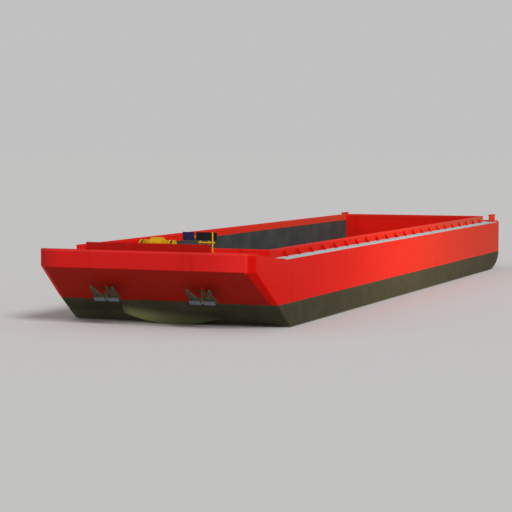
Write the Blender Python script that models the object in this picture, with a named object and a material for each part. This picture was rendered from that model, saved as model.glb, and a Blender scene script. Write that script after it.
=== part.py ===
"""A pushed river barge with an open hold and a raked bow, at its real size in metres.

X points to port, Y from the bow to the stern and Z up. The flat bottom stands on Z = 0 and the hull is
centred on Y = 0. Places along the hull are given as stations: metres aft of the headlog.
"""
import math

import bmesh
import bpy
from mathutils import Matrix, Vector

# Hull
LENGTH = 32.5
BEAM = 8.2
DEPTH = 2.35
HALF = BEAM / 2
BOW_TOP = 2.65
DECK_BREAK = 2.18
PAINT_LINE = 0.845
EDGE_ROUND = 0.05
EDGE_STEPS = 3
SHARP_EDGE = 33.0
GAP = 0.0003

# Bow: headlog, corner chamfer, tapered sides and the rake below them
HEADLOG_FOOT = 2.02
HEADLOG_HALF = 3.68
CHAMFER_HALF = 3.93
CHAMFER_STATION = 0.23
TAPER_END = 2.80
RAKE_FOOT = 2.98
BEVEL_STATION = 1.70
TAPER_HALF = 4.062
BEVEL_HALF = 3.87
BEVEL_RISE = 0.07
BEVEL_TOP = 2.05
STRIP_TURN = 0.15

# Stern: the bottom rises to the transom along a quarter of an ellipse
STERN_RISE_START = 30.60
STERN_RISE_TOP = 0.86
STERN_STEPS = 8

# Hold and coamings
COAMING_OUTER = 3.617
COAMING_PLATE = 0.030
COAMING_TOP = 2.656
COAMING_FORE = 2.19
COAMING_AFT = 31.10
RIM_THICK = 0.012
RIM_DEPTH = 0.055
HOLD_HALF = COAMING_OUTER - COAMING_PLATE
HOLD_FORE = COAMING_FORE + COAMING_PLATE
HOLD_AFT = COAMING_AFT - COAMING_PLATE
HOLD_FLOOR = 0.55
BRACKET_FIRST = 3.55
BRACKET_STEP = 1.265
BRACKETS = 22
BRACKET_REACH = 0.16
BRACKET_THICK = 0.016
BRACKET_HEAD = 0.010
BRACKET_TOP = 2.565

# Ground tackle: both anchors hang plumb out of upright hawse pipes
HAWSE_X = 1.77
HAWSE_STATION = 0.93
HAWSE_BORE = 0.125
HAWSE_WALL = 0.020
HAWSE_LIP = 0.05
HAWSE_FLANGE = 0.07
HAWSE_FLANGE_THICK = 0.022
HAWSE_RAKE_FLANGE = 0.03
HAWSE_RAKE_THICK = 0.012
ANCHOR_PIN_Z = 0.98
FLUKE_TILT = 47.0
FLUKE_LENGTH = 0.60
FLUKE_THICK = 0.064
CROWN_HALF = 0.47
CROWN_SLOT = 0.048
PIN_RADIUS = 0.030
SHANK_TOP = 0.64
CHAIN_RADIUS = 0.026
CHAIN_CLEARANCE = 0.007

# Windlass: a bed with two side frames, a gear case and a cross shaft with a chain wheel at each end
WINDLASS_STATION = 1.20
WINDLASS_AXIS = 2.77
WINDLASS_BED_HALF = 0.34
WINDLASS_BED_THICK = 0.03
WINDLASS_FRAME_X = 0.38
WINDLASS_FRAME_THICK = 0.04
GEARCASE_LEFT = -0.22
GEARCASE_RIGHT = 0.20
GEARCASE_TOP = 3.05
SHOULDER_HALF = 0.355
SHOULDER_TOP = 2.965
SHOULDER_FALL = 0.035
SHAFT_RADIUS = 0.045
WHEEL_HUB = 0.09
WHEEL_GROOVE = 0.125
WHEEL_RIM = 0.20
WHEEL_INNER = 0.45
WHEEL_WIDTH = 0.17

# Breakwater across the bow deck, and the height under which a foot is moved onto the sloping deck
BREAKWATER_LEFT = -2.15
BREAKWATER_RIGHT = 2.37
BREAKWATER_STATION = 0.16
BREAKWATER_TOP = 2.90
BREAKWATER_THICK = 0.020
BREAKWATER_STAYS = (-2.0, -1.3, -0.65, 0.0, 0.65, 1.3, 2.0)
STAY_REACH = 0.16
STAY_THICK = 0.012
FOOT_LIMIT = 2.75

# Stand for the two boards
STAND_STATION = 0.27
POST_FRONT = 2.41
POSTS_BACK = (1.95, 2.26)
POST_RADIUS = 0.025
POST_FRONT_TOP = 3.31
POST_BACK_TOP = 3.22
STAND_BAR = 2.965
STAND_BAR_HALF = 0.022
STAND_BAR_ENDS = (1.90, 2.47)
ARM_LEFT = 1.40
ARM_LOW = 3.13
ARM_HIGH = 3.17
ARM_THICK = 0.016
BOARD_LOW = 3.03
BOARD_HIGH = 3.295
BOARD_THICK = 0.012
BOARD_BLACK = (1.81, 2.55)
BOARD_NAVY = (1.335, 1.75)

# Bollards, each a pair of posts on one base, and the low bar along the stern
BOLLARD_X = 3.90
BOLLARD_STATION = 31.80
BOLLARD_SPACING = 0.46
BOLLARD_BASE_HALF = (0.15, 0.375)
BOLLARD_BASE_THICK = 0.022
BOLLARD_PROFILE = (
    # radius, height over the deck
    (0, 0.016),
    (0.095, 0.016),
    (0.095, 0.30),
    (0.125, 0.315),
    (0.125, 0.35),
    (0.10, 0.365),
    (0, 0.365),
)
STERN_RAIL_WIDTH = 0.09
STERN_RAIL_HEIGHT = 0.05

# Hold ladders
LADDER_X = 2.6
LADDER_HALF = 0.19
LADDER_STILE = 0.05
LADDER_DEPTH = 0.12
RUNG_RADIUS = 0.012
RUNG_OFFSET = 0.085
RUNGS = 6

COLOURS = {
    "hull_red": ((0.62, 0.030, 0.022), 0.42, 0.0),
    "bow_red": ((0.36, 0.014, 0.012), 0.48, 0.0),
    "bottom_paint": ((0.075, 0.062, 0.042), 0.75, 0.0),
    "deck_grey": ((0.42, 0.53, 0.56), 0.60, 0.0),
    "hold_steel": ((0.060, 0.058, 0.054), 0.70, 0.2),
    "deep_red": ((0.29, 0.012, 0.011), 0.50, 0.0),
    "yellow": ((0.72, 0.40, 0.030), 0.45, 0.0),
    "black_board": ((0.012, 0.012, 0.014), 0.50, 0.0),
    "navy_board": ((0.016, 0.022, 0.085), 0.50, 0.0),
    "anchor_iron": ((0.10, 0.105, 0.085), 0.62, 0.4),
    "chain_steel": ((0.035, 0.040, 0.050), 0.50, 0.7),
}


def clear_scene():
    for item in list(bpy.data.objects):
        bpy.data.objects.remove(item, do_unlink=True)


def material(name):
    found = bpy.data.materials.get(name)
    if found:
        return found
    colour, roughness, metallic = COLOURS[name]
    made = bpy.data.materials.new(name)
    made.use_nodes = True
    shader = made.node_tree.nodes["Principled BSDF"]
    shader.inputs["Base Color"].default_value = (*colour, 1.0)
    shader.inputs["Roughness"].default_value = roughness
    shader.inputs["Metallic"].default_value = metallic
    return made


def at(x, station, z):
    """A place given by its station, in world coordinates."""
    return Vector((x, station - LENGTH / 2, z))


def deck_height(station):
    """The bow deck falls from the headlog to the side deck."""
    if station <= CHAMFER_STATION:
        return BOW_TOP
    if station >= DECK_BREAK:
        return DEPTH
    share = (station - CHAMFER_STATION) / (DECK_BREAK - CHAMFER_STATION)
    return BOW_TOP + (DEPTH - BOW_TOP) * share


def rake_height(station):
    return HEADLOG_FOOT * (1 - station / RAKE_FOOT)


def side_half(station):
    if station >= TAPER_END:
        return HALF
    if station > BEVEL_STATION:
        share = (station - BEVEL_STATION) / (TAPER_END - BEVEL_STATION)
        return TAPER_HALF + (HALF - TAPER_HALF) * share
    share = (station - CHAMFER_STATION) / (BEVEL_STATION - CHAMFER_STATION)
    return CHAMFER_HALF + (TAPER_HALF - CHAMFER_HALF) * share


def finish(mesh_data, name, colours, pivot=None, pick=None):
    """Turns a bmesh in world coordinates into an object whose origin is its pivot."""
    bmesh.ops.remove_doubles(mesh_data, verts=mesh_data.verts, dist=0.00002)
    bmesh.ops.recalc_face_normals(mesh_data, faces=mesh_data.faces)
    if pick:
        mesh_data.normal_update()
        for face in mesh_data.faces:
            face.material_index = pick(face)
    pivot = pivot or Vector((0, 0, 0))
    bmesh.ops.translate(mesh_data, verts=mesh_data.verts, vec=-pivot)
    mesh = bpy.data.meshes.new(name)
    mesh_data.to_mesh(mesh)
    mesh_data.free()
    for colour in colours:
        mesh.materials.append(material(colour))
    made = bpy.data.objects.new(name, mesh)
    made.location = pivot
    bpy.context.scene.collection.objects.link(made)
    return made


def soften(target, angle=32):
    for face in target.data.polygons:
        face.use_smooth = True
    target.data.set_sharp_from_angle(angle=math.radians(angle))


def add_box(mesh_data, low, high):
    low, high = Vector(low), Vector(high)
    size = high - low
    place = Matrix.Translation((low + high) / 2) @ Matrix.Diagonal((*size, 1))
    return bmesh.ops.create_cube(mesh_data, size=1, matrix=place)["verts"]


def add_prism(mesh_data, outline, shift):
    """A closed prism: the outline's points in space, moved by the shift."""
    near = [mesh_data.verts.new(point) for point in outline]
    far = [mesh_data.verts.new(Vector(point) + Vector(shift)) for point in outline]
    mesh_data.faces.new(near)
    mesh_data.faces.new(far[::-1])
    for index in range(len(near)):
        after = (index + 1) % len(near)
        mesh_data.faces.new((near[after], near[index], far[index], far[after]))
    return near + far


def add_lathe(mesh_data, profile, place, segments=32):
    """Turns (radius, height) points about Z, then puts the result in place. Ends on the axis are closed."""
    rings = []
    for radius, height in profile:
        if radius < 1e-6:
            rings.append([mesh_data.verts.new(place @ Vector((0, 0, height)))])
            continue
        ring = []
        for index in range(segments):
            angle = 2 * math.pi * index / segments
            point = Vector((radius * math.cos(angle), radius * math.sin(angle), height))
            ring.append(mesh_data.verts.new(place @ point))
        rings.append(ring)
    for lower, upper in zip(rings, rings[1:] + rings[:1]):
        if len(lower) == 1 and len(upper) == 1:
            continue
        for index in range(segments):
            after = (index + 1) % segments
            if len(lower) == 1:
                mesh_data.faces.new((lower[0], upper[index], upper[after]))
            elif len(upper) == 1:
                mesh_data.faces.new((lower[index], lower[after], upper[0]))
            else:
                mesh_data.faces.new((lower[index], lower[after], upper[after], upper[index]))


def seat(verts, below, lift=GAP):
    """Moves each vertex that lies under a height onto the sloping bow deck."""
    for vert in verts:
        if vert.co.z < below:
            vert.co.z = deck_height(vert.co.y + LENGTH / 2) + lift


def along_x(centre):
    return Matrix.Translation(centre) @ Matrix.Rotation(math.pi / 2, 4, "Y")


def combine(target, tool_mesh, operation):
    """Joins a closed bmesh to the target, or cuts it out, and drops the tool."""
    tool = finish(tool_mesh, target.name + "_tool", [target.data.materials[0].name])
    change = target.modifiers.new(operation.lower(), "BOOLEAN")
    change.operation = operation
    change.solver = "EXACT"
    change.object = tool
    graph = bpy.context.evaluated_depsgraph_get()
    result = bpy.data.meshes.new_from_object(target.evaluated_get(graph))
    target.modifiers.clear()
    target.data = result
    bpy.data.objects.remove(tool, do_unlink=True)
    return target


def hull_envelope():
    """The outer shell of the whole hull as one closed mesh with rounded edges, cut at the paint line."""
    shell = bmesh.new()

    def corner(x, station, z):
        return shell.verts.new(at(x, station, z))

    stern_angles = [math.pi / 2 * step / STERN_STEPS for step in range(STERN_STEPS + 1)]
    outer_half = side_half(BEVEL_STATION)
    outer_z = rake_height(BEVEL_STATION) + BEVEL_RISE
    turn_z = outer_z * (RAKE_FOOT - TAPER_END) / (RAKE_FOOT - BEVEL_STATION)
    sides = []
    for sign in (1, -1):
        sides.append({
            "head_top": corner(sign * HEADLOG_HALF, 0, BOW_TOP),
            "head_foot": corner(sign * HEADLOG_HALF, 0, HEADLOG_FOOT),
            "chamfer_top": corner(sign * CHAMFER_HALF, CHAMFER_STATION, BOW_TOP),
            "chamfer_foot": corner(sign * CHAMFER_HALF, CHAMFER_STATION, BEVEL_TOP),
            "bevel_inner": corner(sign * BEVEL_HALF, BEVEL_STATION, rake_height(BEVEL_STATION)),
            "bevel_outer": corner(sign * outer_half, BEVEL_STATION, outer_z),
            "bevel_top": corner(sign * outer_half, BEVEL_STATION, deck_height(BEVEL_STATION)),
            "turn_foot": corner(sign * HALF, TAPER_END, turn_z),
            "turn_top": corner(sign * HALF, TAPER_END, DEPTH),
            "break_top": corner(sign * side_half(DECK_BREAK), DECK_BREAK, DEPTH),
            "foot": corner(sign * HALF, RAKE_FOOT, 0),
            "stern_top": corner(sign * HALF, LENGTH, DEPTH),
            "curve": [
                corner(
                    sign * HALF,
                    STERN_RISE_START + (LENGTH - STERN_RISE_START) * math.sin(angle),
                    STERN_RISE_TOP * (1 - math.cos(angle)),
                )
                for angle in stern_angles
            ],
        })
    port, star = sides
    for side in sides:
        shell.faces.new([side[name] for name in ("chamfer_top", "chamfer_foot", "bevel_outer", "bevel_top")])
        names = ("bevel_top", "bevel_outer", "turn_foot", "turn_top", "break_top")
        shell.faces.new([side[name] for name in names])
        long_side = [side["turn_top"], side["turn_foot"], side["foot"], *side["curve"], side["stern_top"]]
        shell.faces.new(long_side)
        shell.faces.new([side[name] for name in ("head_top", "head_foot", "chamfer_foot", "chamfer_top")])
        shell.faces.new([side[name] for name in ("head_foot", "bevel_inner", "chamfer_foot")])
        shell.faces.new([side[name] for name in ("chamfer_foot", "bevel_inner", "bevel_outer")])
        shell.faces.new([side[name] for name in ("bevel_inner", "foot", "bevel_outer")])
        shell.faces.new([side[name] for name in ("bevel_outer", "foot", "turn_foot")])

    def across(*names):
        ring = [port[name] for name in names] + [star[name] for name in reversed(names)]
        shell.faces.new(ring)

    across("head_top", "head_foot")
    across("head_foot", "bevel_inner", "foot")
    across("head_top", "chamfer_top")
    across("chamfer_top", "bevel_top", "break_top")
    across("break_top", "turn_top", "stern_top")
    shell.faces.new([port["foot"], port["curve"][0], star["curve"][0], star["foot"]])
    for step in range(STERN_STEPS):
        shell.faces.new([
            port["curve"][step], port["curve"][step + 1], star["curve"][step + 1], star["curve"][step],
        ])
    shell.faces.new([port["curve"][-1], port["stern_top"], star["stern_top"], star["curve"][-1]])
    bmesh.ops.recalc_face_normals(shell, faces=shell.faces)
    round_edges(shell)
    everything = shell.verts[:] + shell.edges[:] + shell.faces[:]
    bmesh.ops.bisect_plane(shell, geom=everything, plane_co=(0, 0, PAINT_LINE), plane_no=(0, 0, 1))
    return shell


def round_edges(shell):
    """Rounds the hull's knuckles: gunwale, bilge, rake and transom edges."""
    sharp = [edge for edge in shell.edges if edge.calc_face_angle() > math.radians(SHARP_EDGE)]
    bmesh.ops.bevel(
        shell,
        geom=sharp,
        offset=EDGE_ROUND,
        offset_type="OFFSET",
        segments=EDGE_STEPS,
        profile=0.5,
        affect="EDGES",
        material=-1,
    )


def keep_side(mesh_data, point, outward):
    """Cuts a closed mesh by a plane, drops what lies on the outward side and closes the cut."""
    everything = mesh_data.verts[:] + mesh_data.edges[:] + mesh_data.faces[:]
    bmesh.ops.bisect_plane(
        mesh_data, geom=everything, plane_co=point, plane_no=outward, clear_outer=True, dist=0.000001
    )
    rim = [edge for edge in mesh_data.edges if edge.is_boundary]
    bmesh.ops.contextual_create(mesh_data, geom=rim)


def hull_paint(face):
    """Slot 0 topsides and the hold's end walls, 1 bottom paint, 2 deck grey, 3 hold steel, 4 bow red."""
    middle = face.calc_center_median()
    station = middle.y + LENGTH / 2
    beyond_ends = station < HOLD_FORE - 0.01 or station > HOLD_AFT + 0.01
    outside = abs(middle.x) > HOLD_HALF + 0.02 or beyond_ends
    if face.normal.z > 0.98:
        if middle.z < DEPTH - 0.2:
            return 3
        return 2 if station > DECK_BREAK else 0
    if middle.z < PAINT_LINE and (outside or face.normal.z < -0.2):
        return 1
    if not outside:
        return 0 if abs(face.normal.y) > 0.9 else 3
    rake = face.normal.y < -0.5 and face.normal.z < -0.5 and abs(face.normal.x) < STRIP_TURN
    return 4 if rake else 0


HULL_COLOURS = ["hull_red", "bottom_paint", "deck_grey", "hold_steel", "bow_red"]


def hull_block(name, cuts):
    block = hull_envelope()
    for point, outward in cuts:
        keep_side(block, point, outward)
    return finish(block, name, HULL_COLOURS, pick=hull_paint)


def build_hull():
    half_gap = GAP / 2
    fore = at(0, HOLD_FORE, 0)
    aft = at(0, HOLD_AFT, 0)
    step = Vector((0, half_gap, 0))
    bow = hull_block("hull_bow", [(fore - step, (0, 1, 0))])
    hull_block("hull_stern", [(aft + step, (0, -1, 0))])
    between = [(fore + step, (0, -1, 0)), (aft - step, (0, 1, 0))]
    hull_block("hull_bottom", between + [
        (Vector((HOLD_HALF - GAP, 0, 0)), (1, 0, 0)),
        (Vector((-HOLD_HALF + GAP, 0, 0)), (-1, 0, 0)),
        (Vector((0, 0, HOLD_FLOOR)), (0, 0, 1)),
    ])
    hull_block("hull_side_port", between + [(Vector((HOLD_HALF, 0, 0)), (-1, 0, 0))])
    hull_block("hull_side_starboard", between + [(Vector((-HOLD_HALF, 0, 0)), (1, 0, 0))])
    for sign in (1, -1):
        bore = bmesh.new()
        radius = HAWSE_BORE + HAWSE_WALL + GAP
        centre = at(sign * HAWSE_X, HAWSE_STATION, 2.0)
        profile = [(0, -1.2), (radius, -1.2), (radius, 1.2), (0, 1.2)]
        add_lathe(bore, profile, Matrix.Translation(centre), 32)
        combine(bow, bore, "DIFFERENCE")
    return bow


FAIRING_HALF = 1.95
FAIRING_CROWN = (0.0, 0.34, 0.64, 0.88, 1.0)
FAIRING_SECTIONS = (
    # share of the half width, then stations on the rake: top, ridge, foot; then how far the ridge stands off
    (0.00, 1.70, 2.600, 2.965, 0.300),
    (0.17, 1.70, 2.598, 2.955, 0.295),
    (0.34, 1.70, 2.590, 2.920, 0.275),
    (0.52, 1.71, 2.580, 2.860, 0.230),
    (0.68, 1.72, 2.565, 2.790, 0.170),
    (0.82, 1.76, 2.550, 2.700, 0.100),
    (0.93, 2.12, 2.535, 2.610, 0.040),
    (1.00, 2.46, 2.520, 2.545, 0.006),
)


def build_fairing():
    """The forefoot's fairing: a smooth bulge on the rake below the paint line, lofted from side to side."""
    bulge = bmesh.new()
    outward = Vector((0, -HEADLOG_FOOT, -RAKE_FOOT)).normalized()

    def on_rake(x, station, lift):
        return at(x, station, rake_height(station)) + outward * (lift + GAP)

    mirrored = [(-share, *rest) for share, *rest in reversed(FAIRING_SECTIONS[1:])]
    loops = []
    for share, top, ridge, foot, lift in mirrored + list(FAIRING_SECTIONS):
        x = share * FAIRING_HALF
        loop = [bulge.verts.new(on_rake(x, foot, 0))]
        steps = len(FAIRING_CROWN) - 1
        for index, rise in enumerate(FAIRING_CROWN):
            loop.append(bulge.verts.new(on_rake(x, top + (ridge - top) * index / steps, lift * rise)))
        loops.append(loop)
    bulge.faces.new(loops[0])
    bulge.faces.new(loops[-1][::-1])
    for left, right in zip(loops, loops[1:]):
        for index in range(len(left)):
            after = (index + 1) % len(left)
            bulge.faces.new((left[index], left[after], right[after], right[index]))
    made = finish(bulge, "forefoot_fairing", ["bottom_paint"])
    soften(made, 40)
    return made


def build_side_coaming(name, sign):
    """A long plate with a flat bar along its top edge and a row of triangular brackets outside."""
    start = COAMING_FORE
    length = COAMING_AFT - COAMING_FORE
    foot = DEPTH + GAP
    outline = [
        (HOLD_HALF, foot),
        (COAMING_OUTER, foot),
        (COAMING_OUTER, COAMING_TOP - RIM_DEPTH),
        (COAMING_OUTER + RIM_THICK, COAMING_TOP - RIM_DEPTH),
        (COAMING_OUTER + RIM_THICK, COAMING_TOP),
        (HOLD_HALF, COAMING_TOP),
    ]
    plate = bmesh.new()
    add_prism(plate, [at(sign * x, start, z) for x, z in outline], (0, length, 0))
    made = finish(plate, name, ["hull_red"])
    ribs = bmesh.new()
    root = COAMING_OUTER - 0.01
    for index in range(BRACKETS):
        station = BRACKET_FIRST + BRACKET_STEP * index - BRACKET_THICK / 2
        triangle = [
            (root, foot),
            (COAMING_OUTER + BRACKET_REACH, foot),
            (COAMING_OUTER + BRACKET_HEAD, BRACKET_TOP),
            (root, BRACKET_TOP),
        ]
        add_prism(ribs, [at(sign * x, station, z) for x, z in triangle], (0, BRACKET_THICK, 0))
    return combine(made, ribs, "UNION")


def build_end_coaming(name, station, outward):
    """The plate across one end of the hold, with a flat bar along its top edge."""
    half = HOLD_HALF - GAP
    foot = DEPTH + GAP
    under = COAMING_TOP - RIM_DEPTH
    edge = station + RIM_THICK * outward
    inner = station - COAMING_PLATE * outward
    outline = [
        (inner, foot), (station, foot), (station, under),
        (edge, under), (edge, COAMING_TOP), (inner, COAMING_TOP),
    ]
    plate = bmesh.new()
    add_prism(plate, [at(-half, s, z) for s, z in outline], (2 * half, 0, 0))
    return finish(plate, name, ["hull_red"])


def build_breakwater():
    """A low plate across the bow deck with small stays behind it, dark red."""
    foot = deck_height(BREAKWATER_STATION + BREAKWATER_THICK) + 0.004
    plate = bmesh.new()
    add_box(
        plate,
        at(BREAKWATER_LEFT, BREAKWATER_STATION, foot),
        at(BREAKWATER_RIGHT, BREAKWATER_STATION + BREAKWATER_THICK, BREAKWATER_TOP),
    )
    seat(plate.verts, FOOT_LIMIT)
    made = finish(plate, "breakwater", ["deep_red"])
    stays = bmesh.new()
    back = BREAKWATER_STATION + BREAKWATER_THICK
    root = back - 0.008
    for x in BREAKWATER_STAYS:
        web = [
            (root, deck_height(root) + GAP * 2),
            (CHAMFER_STATION, BOW_TOP + GAP * 2),
            (back + STAY_REACH, deck_height(back + STAY_REACH) + GAP * 2),
            (root, BREAKWATER_TOP - 0.03),
        ]
        outline = [at(x - STAY_THICK / 2, station, z) for station, z in web]
        add_prism(stays, outline, (STAY_THICK, 0, 0))
    return combine(made, stays, "UNION")


def add_shaft(mesh_data, centre, radius, half_length=0.6, segments=32):
    """A closed round bar along X, mostly used as the tool that bores a hole."""
    profile = [(0, -half_length), (radius, -half_length), (radius, half_length), (0, half_length)]
    add_lathe(mesh_data, profile, along_x(centre), segments)


def build_windlass_bed(axle):
    """The bed plate on the deck with two side frames, bored for the shaft."""
    fore = WINDLASS_STATION - WINDLASS_BED_HALF
    aft = WINDLASS_STATION + WINDLASS_BED_HALF
    top = deck_height(fore) + WINDLASS_BED_THICK
    outline = [(fore, deck_height(fore) + GAP), (aft, deck_height(aft) + GAP), (aft, top), (fore, top)]
    half = WINDLASS_FRAME_X + WINDLASS_FRAME_THICK / 2 + 0.02
    bed = bmesh.new()
    add_prism(bed, [at(-half, station, z) for station, z in outline], (2 * half, 0, 0))
    made = finish(bed, "windlass_bed", ["yellow"])
    frames = bmesh.new()
    shape = [
        (fore + 0.03, top - 0.006),
        (aft - 0.03, top - 0.006),
        (WINDLASS_STATION + 0.14, WINDLASS_AXIS + 0.12),
        (WINDLASS_STATION + 0.07, SHOULDER_TOP - 0.02),
        (WINDLASS_STATION - 0.07, SHOULDER_TOP - 0.02),
        (WINDLASS_STATION - 0.14, WINDLASS_AXIS + 0.12),
    ]
    for sign in (1, -1):
        left = sign * WINDLASS_FRAME_X - WINDLASS_FRAME_THICK / 2
        add_prism(frames, [at(left, station, z) for station, z in shape], (WINDLASS_FRAME_THICK, 0, 0))
    combine(made, frames, "UNION")
    bore = bmesh.new()
    add_shaft(bore, axle, SHAFT_RADIUS + 0.001)
    return combine(made, bore, "DIFFERENCE")


def build_gearcase(axle):
    """The closed case between the frames that hides the windlass's gears."""
    floor = deck_height(WINDLASS_STATION - WINDLASS_BED_HALF) + WINDLASS_BED_THICK + GAP
    shape = [
        (-0.24, floor),
        (0.27, floor),
        (0.27, WINDLASS_AXIS + 0.06),
        (0.17, GEARCASE_TOP - 0.06),
        (0.03, GEARCASE_TOP),
        (-0.12, GEARCASE_TOP - 0.03),
        (-0.24, WINDLASS_AXIS + 0.12),
    ]
    outline = [at(GEARCASE_LEFT, WINDLASS_STATION + aft, z) for aft, z in shape]
    case = bmesh.new()
    add_prism(case, outline, (GEARCASE_RIGHT - GEARCASE_LEFT, 0, 0))
    made = finish(case, "windlass_gearcase", ["yellow"])
    low = SHOULDER_TOP - SHOULDER_FALL
    outline = [
        (-SHOULDER_HALF, floor), (SHOULDER_HALF, floor), (SHOULDER_HALF, low), (-SHOULDER_HALF, SHOULDER_TOP),
    ]
    shoulders = bmesh.new()
    add_prism(shoulders, [at(x, WINDLASS_STATION - 0.19, z) for x, z in outline], (0, 0.40, 0))
    combine(made, shoulders, "UNION")
    bore = bmesh.new()
    add_shaft(bore, axle, SHAFT_RADIUS + 0.006)
    return combine(made, bore, "DIFFERENCE")


def build_windlass_shaft(axle):
    """One turned piece: the cross shaft with a grooved chain wheel at each end."""
    half = [
        # radius, distance from the inner face of the wheel
        (SHAFT_RADIUS, -0.02),
        (WHEEL_HUB, -0.02),
        (WHEEL_HUB, 0),
        (WHEEL_RIM, 0),
        (WHEEL_RIM, 0.025),
        (WHEEL_GROOVE, 0.055),
        (WHEEL_GROOVE, WHEEL_WIDTH - 0.055),
        (WHEEL_RIM, WHEEL_WIDTH - 0.025),
        (WHEEL_RIM, WHEEL_WIDTH),
        (WHEEL_HUB, WHEEL_WIDTH),
        (WHEEL_HUB, WHEEL_WIDTH + 0.03),
        (0, WHEEL_WIDTH + 0.03),
    ]
    half = [(radius, WHEEL_INNER + outward) for radius, outward in half]
    profile = [(radius, -place) for radius, place in reversed(half)] + half
    shaft = bmesh.new()
    add_lathe(shaft, profile, along_x(axle), 36)
    made = finish(shaft, "windlass_shaft", ["yellow"], pivot=axle)
    soften(made)
    return made


def build_hawse(name, sign):
    """A lining tube from the deck to the rake. Its flanges follow the slope of the deck and of the rake."""
    outer = HAWSE_BORE + HAWSE_WALL
    flange = outer + HAWSE_FLANGE
    ring = outer + HAWSE_RAKE_FLANGE
    thick = HAWSE_FLANGE_THICK
    deck = deck_height(HAWSE_STATION)
    rake = rake_height(HAWSE_STATION)
    tube = bmesh.new()
    profile = [
        (HAWSE_BORE, rake - HAWSE_RAKE_THICK),
        (ring, rake - HAWSE_RAKE_THICK),
        (ring, rake - GAP),
        (outer, rake - GAP),
        (outer, deck + GAP),
        (flange, deck + GAP),
        (flange, deck + thick),
        (outer, deck + thick),
        (outer, deck + HAWSE_LIP),
        (HAWSE_BORE, deck + HAWSE_LIP),
    ]
    add_lathe(tube, profile, Matrix.Translation(at(sign * HAWSE_X, HAWSE_STATION, 0)), 32)
    for vert in tube.verts:
        station = vert.co.y + LENGTH / 2
        if vert.co.z > (deck + rake) / 2:
            vert.co.z += deck_height(station) - deck
        else:
            vert.co.z += rake_height(station) - rake
    made = finish(tube, name, ["deep_red"])
    soften(made)
    return made


def tube_along(points, radius, name, colour, segments=16):
    """A closed round bar swept along points, as a bevelled curve turned into a mesh."""
    curve = bpy.data.curves.new(name, "CURVE")
    curve.dimensions = "3D"
    curve.bevel_depth = radius
    curve.bevel_resolution = (segments - 4) // 2
    curve.use_fill_caps = True
    line = curve.splines.new("POLY")
    line.points.add(len(points) - 1)
    for spot, point in zip(line.points, points):
        spot.co = (*point, 1)
    made = bpy.data.objects.new(name, curve)
    bpy.context.scene.collection.objects.link(made)
    graph = bpy.context.evaluated_depsgraph_get()
    mesh = bpy.data.meshes.new_from_object(made.evaluated_get(graph))
    bpy.data.objects.remove(made, do_unlink=True)
    solid = bmesh.new()
    solid.from_mesh(mesh)
    result = finish(solid, name, [colour])
    soften(result, 60)
    return result


def build_chain(name, sign):
    """The chain from the wheel's groove down through the hawse pipe, drawn as one thick bar."""
    wheel = at(sign * (WHEEL_INNER + WHEEL_WIDTH / 2), WINDLASS_STATION, WINDLASS_AXIS)
    reach = WHEEL_GROOVE + CHAIN_RADIUS + CHAIN_CLEARANCE
    points = []
    for degrees in (-25, -5, 15, 35):
        angle = math.radians(degrees)
        points.append(wheel + Vector((0, -reach * math.sin(angle), reach * math.cos(angle))))
    points.append(at(wheel.x, WINDLASS_STATION - 0.27, WINDLASS_AXIS))
    lip = deck_height(HAWSE_STATION) + HAWSE_LIP
    over = HAWSE_BORE + HAWSE_WALL
    seated = lip + CHAIN_RADIUS + 2 * GAP
    route = (
        # distance inward from the hawse pipe's centre, height
        (over + 0.08, seated),
        (over + 0.01, seated),
        (over - 0.03, seated),
        (over - 0.045, seated - 0.008),
        (0.085, seated - 0.03),
        (0.08, lip - 0.04),
        (0.02, lip - 0.25),
        (0, lip - 0.40),
        (0, ANCHOR_PIN_Z + SHANK_TOP + GAP),
    )
    for inward, height in route:
        points.append(at(sign * (HAWSE_X - inward), HAWSE_STATION, height))
    return tube_along(points, CHAIN_RADIUS, name, "chain_steel")


def build_shank(name, pin):
    """The anchor's shank, thickest at the eye that the pin goes through."""
    profile = [
        # height over the pin, half width, half depth
        (-0.085, 0.038, 0.050),
        (0.155, 0.042, 0.055),
        (0.24, 0.064, 0.055),
        (0.46, 0.058, 0.045),
        (SHANK_TOP, 0.028, 0.034),
    ]
    shank = bmesh.new()
    rings = []
    for height, wide, deep in profile:
        corners = ((-wide, -deep), (wide, -deep), (wide, deep), (-wide, deep))
        rings.append([shank.verts.new(pin + Vector((x, y, height))) for x, y in corners])
    shank.faces.new(rings[0][::-1])
    shank.faces.new(rings[-1])
    for lower, upper in zip(rings, rings[1:]):
        for index in range(4):
            after = (index + 1) % 4
            shank.faces.new((lower[index], lower[after], upper[after], upper[index]))
    made = finish(shank, name, ["anchor_iron"])
    bore = bmesh.new()
    add_shaft(bore, pin, PIN_RADIUS + 0.0008, 0.2, 24)
    return combine(made, bore, "DIFFERENCE")


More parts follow.
